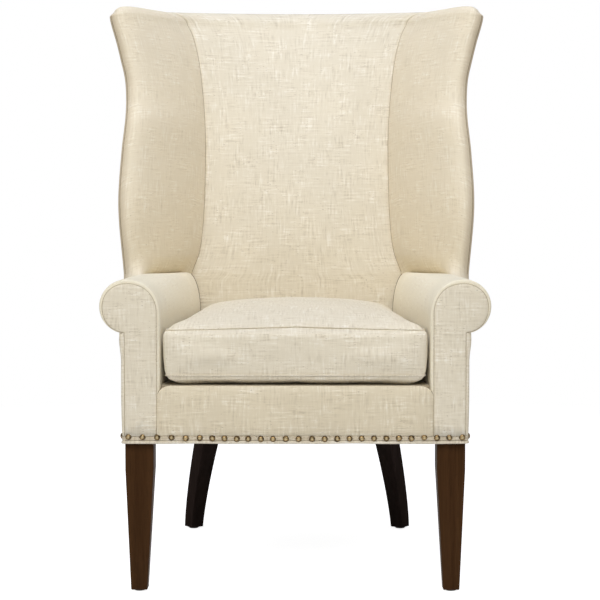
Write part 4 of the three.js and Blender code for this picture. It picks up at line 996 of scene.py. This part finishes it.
def outsideWingPoint(u, v):
    place = mix(plan["cornerShare"] + 0.001, 0.997, u)
    z = mix(shell["joint"] + shell["gap"], topAt(place), v)
    edge = math.sin(math.pi * clampShare(u)) ** 0.5 * math.sin(math.pi * clampShare(v)) ** 0.5
    return outside(place, z, -shell["puff"] * edge)


def makeOutsideWing(side, word):
    bm = clothGrid(48, 72, outsideWingPoint, seed=3.3)
    piece = makeCover("outside_wing_" + word, bm, linen, (0.1, 0.4, 0.8), side)
    giveWall(piece, shell["wall"])


def outsideArmPoint(u, v):
    z = mix(shell["bottom"], shell["joint"] + 0.001, v)
    puff = shell["puff"] * 0.5 * math.sin(math.pi * clampShare(v)) ** 0.6
    swell = shell["swell"] * smoothStep(z, *shell["swellRise"])
    radius = shell["frontRound"]
    if u < shell["turnFrom"]:
        t = u / shell["turnFrom"]
        if t < shell["curveShare"]:  # the part of the run that lies on the rear curve
            place = mix(plan["cornerShare"] + 0.001, 1, t / shell["curveShare"])
            return outside(place, z, -puff * smoothStep(t, 0.0, 0.08))
        ahead = (t - shell["curveShare"]) / (1 - shell["curveShare"])
        x = plan["bodyHalf"] + puff + swell * smoothStep(ahead, 0, 0.4)
        return Vector((x, mix(wingEdge(z)[1], radius, ahead), z))
    angle = math.pi / 2 * (u - shell["turnFrom"]) / (1 - shell["turnFrom"])
    reach = plan["bodyHalf"] + puff + swell - shell["frontX"]
    return Vector((shell["frontX"] + reach * math.cos(angle), radius * (1 - math.sin(angle)), z))


def makeOutsideArm(side, word):
    bm = clothGrid(110, 30, outsideArmPoint, seed=4.2)
    piece = makeCover("outside_arm_" + word, bm, linen, (0.1, 0.3, 0.4), side)
    giveWall(piece, shell["wall"])
    r = shell["weltRadius"]
    corner = [outside(plan["cornerShare"], z, -r * 0.3) for z in spread(shell["bottom"], roundBottom, 60)]
    weltAlong("welt_back_corner_" + word, toSide(corner, side), r, weltLinen)
    joint = [outside(place, shell["joint"], -r * 0.2) for place in spread(plan["cornerShare"], 1.0, 24)]
    for y in spread(plan["wingFront"], 0.02, 24)[1:]:
        swell = shell["swell"] * smoothStep(plan["wingFront"] - y, 0, 0.15)
        joint.append(Vector((plan["bodyHalf"] + swell, y, shell["joint"] + shell["gap"])))
    weltAlong("welt_arm_line_" + word, toSide(joint, side), r * 0.8, weltLinen)


outline = {
    "edge": 0.9985, "above": 0.08, "turnDrop": 0.004, "turnEnd": 0.99, "topFrom": 0.985,
    "proud": 0.0004, "topProud": 0.0006,
}


def makeOutlineWelt(values):  # up the rear edge of each wing, round the ears and along the top
    bottom, top = shell["joint"] + values["above"], topAt(1)
    rise = [outside(values["edge"], z, -values["proud"]) for z in spread(bottom, top - values["turnDrop"], 60)]
    ear, start = outside(values["edge"], top), rise[-1]
    end = outside(values["turnEnd"], topAt(values["turnEnd"]))
    turned = [start.lerp(ear, t).lerp(ear.lerp(end, t), t) for t in spread(0, 1, 6)[1:]]
    crest = [outside(place, topAt(place), -values["topProud"]) for place in spread(values["topFrom"], 0, 50)]
    right = rise + turned + crest
    weltAlong("welt_outline", right + toSide(right[-2::-1]), shell["weltRadius"], weltLinen)


makeOutsideBack()
bothSides(makeOutsideWing)
bothSides(makeOutsideArm)
makeOutlineWelt(outline)
print("outside covers made")

# Front border under the cushion
border = {
    "half": 0.2556, "top": 0.3868, "bottom": 0.2937, "corner": 0.024, "back": 0.012, "proud": 0.0004,
    "puffs": [
        (0, 0), (0.0006, 0.0008), (0.0022, 0.0022), (0.0055, 0.0039), (0.011, 0.0054), (0.019, 0.0063), (0.03, 0.0067),
    ],
}


def borderLine(depth):
    half, top, bottom = border["half"] - depth, border["top"] - depth, border["bottom"] + depth
    r = max(border["corner"] - depth, 0.002)
    turn = spread(0, math.pi / 2, 8)
    right = [Vector((half, 0, z)) for z in spread(bottom, top - r, 6)[:-1]]
    right += [Vector((half - r + r * math.cos(a), 0, top - r + r * math.sin(a))) for a in turn]
    lower = [Vector((x, 0, bottom)) for x in spread(-half, half, 24)[1:-1]]
    upper = [Vector((x, 0, top)) for x in spread(half - r, -half + r, 24)[1:-1]]
    return right + upper + toSide(right[::-1]) + lower


def makeBorder():
    bm = puffedPanel(borderLine, border["puffs"], border["back"])
    layCloth(bm, 0.9)
    piece = makePiece("cover_front_border", bm, borderLinenPaintedShade, stands=("front_border",))
    inner = border["half"] - border["corner"]
    edge = [Vector((p.x, border["proud"], p.z)) for p in borderLine(-0.0003) if p.x > inner]
    edge.sort(key=lambda p: math.atan2(p.z - border["top"] + border["corner"], p.x))
    # a dark cord of painted shade along the gap between the border and the facing
    threadBothSides("seam_shade_border_", edge, facing["thread"], creaseShadeLine)


makeBorder()

# Deck cloth under the cushion
deck = {"inset": 0.046, "front": 0.0145, "bottom": 0.3706, "top": 0.3878}
deckEdge = [(0.001, 0.0018), (0.004, 0.0006), (0.04, 0)]  # how far in from the edge, and how far under the top


def rearLine(depth, steps):
    return [outside(place, plan["railTop"], depth).xy.to_3d() for place in spread(1, 0, steps)[1:]]


def planLine(depth, steps=40, frontRound=0.004):
    half = plan["bodyHalf"] - depth
    right = [Vector((half - frontRound, depth, 0)), Vector((half, depth + frontRound, 0))]
    right += [Vector((half, y, 0)) for y in spread(0.03, plan["wingFront"], 16)[1:]] + rearLine(depth, steps)
    return right + toSide(right[:-1])[::-1]


def deckLine(depth):
    right = [Vector((plan["bodyHalf"] - depth, y, 0)) for y in spread(0, plan["wingFront"], 16)]
    right += rearLine(depth, 40)
    return right + toSide(right[:-1])[::-1]


def makeDeck():
    def ring(depth, z):
        return [Vector((p.x, max(p.y, deck["front"] + depth), z)) for p in deckLine(deck["inset"] + depth)]

    loops = [ring(0, deck["bottom"]), ring(0, deck["top"] - 0.004)]
    loops += [ring(depth, deck["top"] - under) for depth, under in deckEdge]
    bm = stackLoops(loops)
    layCloth(bm, 0.2)
    piece = makePiece("deck_cloth", bm, decking, stands=("deck_pad",))


makeDeck()

# Base band, its dome nails and the bottom welt
band = {  # the strip and the welt each hold their bottom, top, how far they stand out, their rounding and their waver
    "strip": (0.2853, 0.2934, 0.0006, 0.0008, 0.0004), "welt": (0.2792, 0.2848, 0.0016, 0.0026, 0.0009),
    "proud": 0.0006, "wall": 0.004, "corner": 0.005, "steps": 60, "count": 320,
}


def ringStrip(name, low, high, proud, roundness, wave, material, stands=()):
    path = planLine(-proud, band["steps"], band["corner"])
    path.append(path[0])
    lengths = runLengths(path)
    mid, half = (low + high) / 2, (high - low) / 2
    turn = spread(-math.pi / 2, math.pi / 2, 6)
    section = [(roundness * (1 - math.cos(a)), mid + half * math.sin(a)) for a in turn]
    section += [(band["wall"], high), (band["wall"], low)]

    def at(u, v):
        spot = alongLine(path, lengths, u)
        ahead, before = [alongLine(path, lengths, (u + step) % 1.0) for step in (0.0015, -0.0015)]
        away = (ahead - before).normalized()
        out = Vector((away.y, -away.x, 0))
        inward, z = section[round(v * len(section)) % len(section)]
        waver = wave * noise.noise(Vector((spot.x * 14, spot.y * 14, 4.0)))
        return Vector((spot.x, spot.y, z + waver)) - out * inward

    bm = bmesh.new()
    bmesh.ops.create_grid(bm, x_segments=band["count"], y_segments=len(section), size=1)
    for vert in bm.verts:
        vert.co = at((vert.co.x + 1) / 2 % 1.0, (vert.co.y + 1) / 2)
    bmesh.ops.remove_doubles(bm, verts=bm.verts, dist=1e-5)
    bmesh.ops.recalc_face_normals(bm, faces=bm.faces)
    layCloth(bm, 0.33)
    makePiece(name, bm, material, stands=stands)


ringStrip("cover_base_band", *band["strip"], bandLinenPaintedShade)
ringStrip("welt_bottom", *band["welt"], weltLinen, ("bottom_welt",))

nails = {
    "radius": 0.0059, "dome": 0.0038, "pitch": 0.0238, "sides": 12, "rings": 8, "drift": 0.0006, "tilt": 0.05,
    "height": 0.2888, "rise": 0.0036, "under": -0.12,
}
nailDriftShares = [(0, 0), (0.2, 0.0133), (0.4, 0.0068), (0.6, 0.0065), (0.8, 0.0015), (1, 0)]


def nailRow(name, path, count, stands, drift=None, margin=0.5):
    random.seed(name)
    lengths = runLengths(path)
    bm = bmesh.new()
    domeGlint = bm.verts.layers.float.new("domeGlint")
    for i in range(count):
        share = (i + margin) / (count - 1 + 2 * margin)
        if drift:
            share += followShares(drift, i / (count - 1)) / lengths[-1]
        share += random.uniform(-1, 1) * nails["drift"] / lengths[-1]
        spot = alongLine(path, lengths, share)
        away = (alongLine(path, lengths, share + 0.004) - alongLine(path, lengths, share - 0.004)).normalized()
        out = Vector((away.y, -away.x, 0))
        made = bmesh.ops.create_uvsphere(bm, u_segments=nails["sides"], v_segments=nails["rings"], radius=1)["verts"]
        size = nails["radius"] * random.uniform(0.96, 1.03)
        z = nails["height"] + random.uniform(-1, 1) * nails["drift"]
        z += nails["rise"] * min(abs(spot.x) / plan["bodyHalf"], 1) ** 2
        side, up = Vector((0, 0, 1)).cross(out), Vector((0, 0, 1))
        tilt = random.uniform(-nails["tilt"], nails["tilt"])
        for vert in made:
            a, b, c = vert.co.x, vert.co.y, max(vert.co.z, nails["under"])
            vert.co = spot + side * a * size + up * (b * size + z) + out * (c * nails["dome"] + a * tilt * size)
            # domeGlint holds the dome's height, which steers the painted highlight and rim shade
            vert[domeGlint] = clampShare(c)
    makePiece(name, bm, brass, stands=stands)


bandPath = planLine(-band["proud"], band["steps"], band["corner"])
bandHalf = plan["bodyHalf"] - 0.0035
frontPath = [Vector((-bandHalf + 0.008, -band["proud"], 0)), Vector((bandHalf - 0.0079, -band["proud"], 0))]
sideRight = [p for p in bandPath[1:] if p.x > 0.0 and p.y > 0.004]
cornerAt = outside(plan["cornerShare"], plan["railTop"]).xy.to_3d()
sidePath = [p for p in sideRight if p.x >= cornerAt.x]
backPath = [p for p in bandPath if abs(p.x) < cornerAt.x and p.y > 0.3]
sideCount = round(runLengths(sidePath)[-1] / nails["pitch"])
backCount = round(runLengths(backPath)[-1] / nails["pitch"])
nailRow("nails_front", frontPath, 27, ("nail_band_front",), nailDriftShares, 0.0)
nailRow("nails_right", sidePath, sideCount, ("nail_band_right",), None, 0.4)
nailRow("nails_left", toSide(sidePath)[::-1], sideCount, ("nail_band_left",), None, 0.4)
nailRow("nails_back", backPath, backCount, ("nail_band_back",))
print("base band and nails made")

# Dust cover, one stretched sheet of cambric
dust = {"inset": 0.0135, "front": 0.015, "z": 0.2834, "sag": 0.0015, "rings": 4, "ringWidth": 0.03, "wall": 0.0006}


def makeDustCover():
    outline = planLine(dust["inset"])
    bm = bmesh.new()
    face = bm.faces.new([bm.verts.new((p.x, max(p.y, dust["front"]), dust["z"])) for p in outline])
    area = face.calc_area()
    for _ in range(dust["rings"]):
        bmesh.ops.inset_region(bm, faces=[face], thickness=dust["ringWidth"])
        bmesh.ops.translate(bm, verts=face.verts[:], vec=(0, 0, -dust["sag"] / dust["rings"]))
    bm.normal_update()
    layCloth(bm)
    for f in bm.faces:
        if f.normal.z > 0:
            f.normal_flip()
    piece = makePiece("dust_sheet", bm, cambric, closed=False, stands=("dust_cover",))
    giveWall(piece, dust["wall"])


makeDustCover()

# Loose seat cushion: boxed, filled, with welted seams
cushion = {
    "bottom": 0.3889, "thick": 0.100, "crown": 0.043, "climb": 0.013, "shoulder": 0.012, "gap": 0.003,
    "rear": 0.540, "nose": 0.007, "draw": 0.003, "shrink": 0.0035, "voxel": 0.006, "frames": 20, "cap": 0.007,
    "topSeam": 0.4880, "seamRise": 0.0068, "topPull": 0.0016, "lowSeam": 0.4060, "lowPull": 0.0010,
    "pullWidth": 0.006, "pullReach": 0.02, "weltRadius": 0.0012,
}
stuffing = {
    "quality": 6, "mass": 0.35, "tension_stiffness": 25, "compression_stiffness": 25, "shear_stiffness": 8,
    "bending_stiffness": 2.5, "use_pressure": True, "uniform_pressure_force": 4.0,
}
frontStations = [(0, 0.009), (0.0012, 0.0048), (0.004, 0.0018)]  # how far behind the nose, and how much thinner
rearStations = [(0.008, 0.003), (0.002, 0.009), (0, 0.018)]  # how far before the rear edge
crownShares = [(0, 0.1), (0.03, 0.22), (0.2, 0.78), (0.5, 1), (0.85, 0.86), (1, 0.4)]
sectionShares = [
    (0, 0, 0, 0), (0.5, 0, 0, 0), (0.9, 0, 0, 0), (0.955, 0.015, 0, 0), (0.985, 0.07, 0, 0), (1.0, 0.16, 0, 0),
    (1.005, 0.4, 0, 0), (1.008, 0.7, 0, 0.2), (1.014, 0.97, 0, 0.9), (1.008, 1, 0, 1), (0.96, 1, 0.14, 1),
    (0.9, 1, 0.32, 0.8), (0.78, 1, 0.58, 0.4), (0.55, 1, 0.84, 0.1), (0.28, 1, 0.96, 0), (0, 1, 1, 0),
]


def cushionRing(y, squeeze, shrink):
    run = clampShare(y / cushion["rear"])
    half = armInner(max(y, 0)) - cushion["gap"] - cushion["draw"] * math.sin(math.pi * run) - squeeze * 0.6 - shrink
    crown = cushion["crown"] * followShares(crownShares, run)
    low = cushion["bottom"] + squeeze + shrink
    high = cushion["thick"] - 1.4 * squeeze - 2 * shrink
    climb = cushion["climb"] * run
    lift = cushion["shoulder"] * smoothStep(run, -0.08, 0.09)
    right = [Vector((half * a, y, low + (high + climb) * b + crown * c + lift * d)) for a, b, c, d in sectionShares]
    return right + toSide(right[1:-1])[::-1]


def cushionForm(shrink):
    rear = cushion["rear"] - shrink
    stations = [(shrink - cushion["nose"] + behind, squeeze) for behind, squeeze in frontStations] + [(0.007, 0.0004)]
    stations += [(y, 0.0) for y in spread(0.014, rear - 0.02, 14)]
    stations += [(rear - before, squeeze) for before, squeeze in rearStations]
    return stackLoops([cushionRing(y, squeeze, shrink) for y, squeeze in stations])


def fillWithCloth(piece):  # the stuffing swells the cover against its seams
    start = [v.co.copy() for v in piece.data.vertices]
    modifier = piece.modifiers.new("fill", "CLOTH")
    for label, value in stuffing.items():
        setattr(modifier.settings, label, value)
    modifier.settings.effector_weights.gravity = 0
    modifier.point_cache.frame_start = 1
    modifier.point_cache.frame_end = cushion["frames"]
    for frameNumber in range(1, cushion["frames"] + 1):
        scene.frame_set(frameNumber)
    graph = bpy.context.evaluated_depsgraph_get()
    moved = [v.co.copy() for v in piece.evaluated_get(graph).data.vertices]
    piece.modifiers.remove(modifier)
    scene.frame_set(1)
    for vert, old, new in zip(piece.data.vertices, start, moved):
        shift = new - old
        if shift.length > cushion["cap"]:
            shift *= cushion["cap"] / shift.length
        vert.co = old + shift
        vert.co.z = max(vert.co.z, cushion["bottom"])


def fitToNode(bm, node):  # brings the swollen pad back to the space its node holds
    low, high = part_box(node)
    want = [(low.x, high.x), (low.y - frontY, high.y - frontY), (low.z, high.z)]
    for axis, (first, last) in enumerate(want):
        least = min(vert.co[axis] for vert in bm.verts)
        most = max(vert.co[axis] for vert in bm.verts)
        for vert in bm.verts:
            vert.co[axis] = mix(first, last, (vert.co[axis] - least) / (most - least))


def makeCushion():
    form = linkMesh("cushion form", cushionForm(cushion["shrink"]))
    remesh = form.modifiers.new("even", "REMESH")
    remesh.mode = "VOXEL"
    remesh.voxel_size = cushion["voxel"]
    graph = bpy.context.evaluated_depsgraph_get()
    even = bpy.data.meshes.new_from_object(form.evaluated_get(graph))
    bpy.data.objects.remove(form)
    pad = linkObject("pad", even)
    fillWithCloth(pad)
    bm = bmesh.new()
    bm.from_mesh(pad.data)
    bpy.data.objects.remove(pad)
    for _ in range(2):
        bmesh.ops.smooth_vert(bm, verts=bm.verts, factor=0.4, use_axis_x=True, use_axis_y=True, use_axis_z=True)
    fitToNode(bm, "seat_cushion")
    return bm


def seamLoop(tree, z, squeeze, rise, steps=240):  # a level line round the cushion, laid on its surface
    points = []
    for i in range(steps):
        angle = math.tau * i / steps
        run = Vector((math.cos(angle), math.sin(angle), 0))
        centre = Vector((0, cushion["rear"] / 2, z))
        lift = rise * (1 - min(abs(run.x) * 1.15, 1.0)) if run.y < 0 else 0.0
        hit = tree.ray_cast(centre + run * 0.6 + Vector((0, 0, lift)), -run)
        points.append(hit[0] + hit[1] * squeeze)
    return points


bm = makeCushion()
cushionTree = BVHTree.FromBMesh(bm)
topSeam = seamLoop(cushionTree, cushion["topSeam"], 0.0002, cushion["seamRise"])
lowSeam = seamLoop(cushionTree, cushion["lowSeam"], 0.0002, 0.0)
pulls = ((topSeam, cushion["topPull"]), (lowSeam, cushion["lowPull"]))
for vert in bm.verts:
    for line, pull in pulls:
        if abs(vert.co.z - line[0].z) < cushion["pullReach"]:
            near = min((vert.co - p).length for p in line)
            vert.co -= vert.normal * pull * math.exp(-((near / cushion["pullWidth"]) ** 2))
for face in bm.faces:
    face.smooth = True
bm.normal_update()
layCloth(bm, 0.15)
seatPiece = makePiece("seat_cushion_cover", bm, linen, body=cushionBody, stands=("seat_cushion",))
smoothing = seatPiece.modifiers.new("even surface", "SUBSURF")
smoothing.levels = 1
smoothing.render_levels = 1
weltAlong("welt_cushion_top", topSeam, cushion["weltRadius"], weltLinen, cyclic=True, body=cushionBody)
weltAlong("welt_cushion_low", lowSeam, cushion["weltRadius"] * 1.3, weltLinen, cyclic=True, body=cushionBody)
print("cushion made")

# Room
room = {"worldLight": 0.215, "floor": 0.9, "nearGlow": 0.88, "glowFrom": 0.8, "glowTo": 3.0, "floorSize": 14}


def addArea(name, place, aim, size, power, color=(1, 1, 1)):
    lamp = bpy.data.lights.new(name, "AREA")
    lamp.shape = "DISK"
    lamp.size = size
    lamp.energy = power
    lamp.color = color
    holder = linkObject(name, lamp)
    holder.location = place
    holder.rotation_euler = (Vector(aim) - Vector(place)).to_track_quat("-Z", "Y").to_euler()


addArea("front", (0, -3.6, 3.2), (0, 0, 0.6), 2.4, 68, (1, 0.982, 0.95))
addArea("left", (-2.1, -2.7, 2.6), (0, 0, 0.6), 2.0, 27)
addArea("right", (2.1, -2.7, 2.6), (0, 0, 0.6), 2.0, 10)
addArea("top", (0, -0.6, 3.4), (0, 0, 0.6), 2.0, 38, (0.91, 1.0, 1.26))


def backgroundRays(tree):  # the rays that see the white backdrop instead of the lit one
    path = addNode(tree, "ShaderNodeLightPath")
    seen = mathNode(tree, "MAXIMUM", path.outputs["Is Camera Ray"], path.outputs["Is Glossy Ray"])
    return mathNode(tree, "MAXIMUM", seen, path.outputs["Is Transmission Ray"])


def whiteLight(tree, kind, strength):
    return addNode(tree, kind, in_Color=(1, 1, 1, 1), in_Strength=strength).outputs[0]


def joinShaders(tree, kind, *inputs):
    node = addNode(tree, kind)
    for socket, output in zip(node.inputs, inputs):
        tree.links.new(output, socket)
    return node.outputs[0]


def emptyTree(owner):
    owner.use_nodes = True
    owner.node_tree.nodes.clear()
    return owner.node_tree


world = bpy.data.worlds.new("room")
scene.world = world
tree = emptyTree(world)
lit, seen = [whiteLight(tree, "ShaderNodeBackground", strength) for strength in (room["worldLight"], 1.0)]
backdrop = joinShaders(tree, "ShaderNodeMixShader", backgroundRays(tree), lit, seen)
tree.links.new(backdrop, addNode(tree, "ShaderNodeOutputWorld").inputs[0])

floorMaterial = bpy.data.materials.new("pale floor")
tree = emptyTree(floorMaterial)
reach = addNode(tree, "ShaderNodeVectorMath", operation="LENGTH")
tree.links.new(addNode(tree, "ShaderNodeTexCoord").outputs["Object"], reach.inputs[0])
far = remap(tree, reach.outputs["Value"], room["glowFrom"], room["glowTo"])
matte = addNode(tree, "ShaderNodeBsdfDiffuse", in_Color=(room["floor"],) * 3 + (1,)).outputs[0]
near, glow = [whiteLight(tree, "ShaderNodeEmission", strength) for strength in (room["nearGlow"], 1.0)]
lifted = joinShaders(tree, "ShaderNodeAddShader", matte, near)
faded = joinShaders(tree, "ShaderNodeMixShader", far, lifted, glow)
seen = joinShaders(tree, "ShaderNodeMixShader", backgroundRays(tree), matte, faded)
tree.links.new(seen, addNode(tree, "ShaderNodeOutputMaterial").inputs[0])
bm = bmesh.new()
bmesh.ops.create_grid(bm, x_segments=2, y_segments=2, size=room["floorSize"])
floor = linkMesh("floor", bm)
floor.data.materials.append(floorMaterial)

scene.view_settings.view_transform = "Standard"
print("room made")
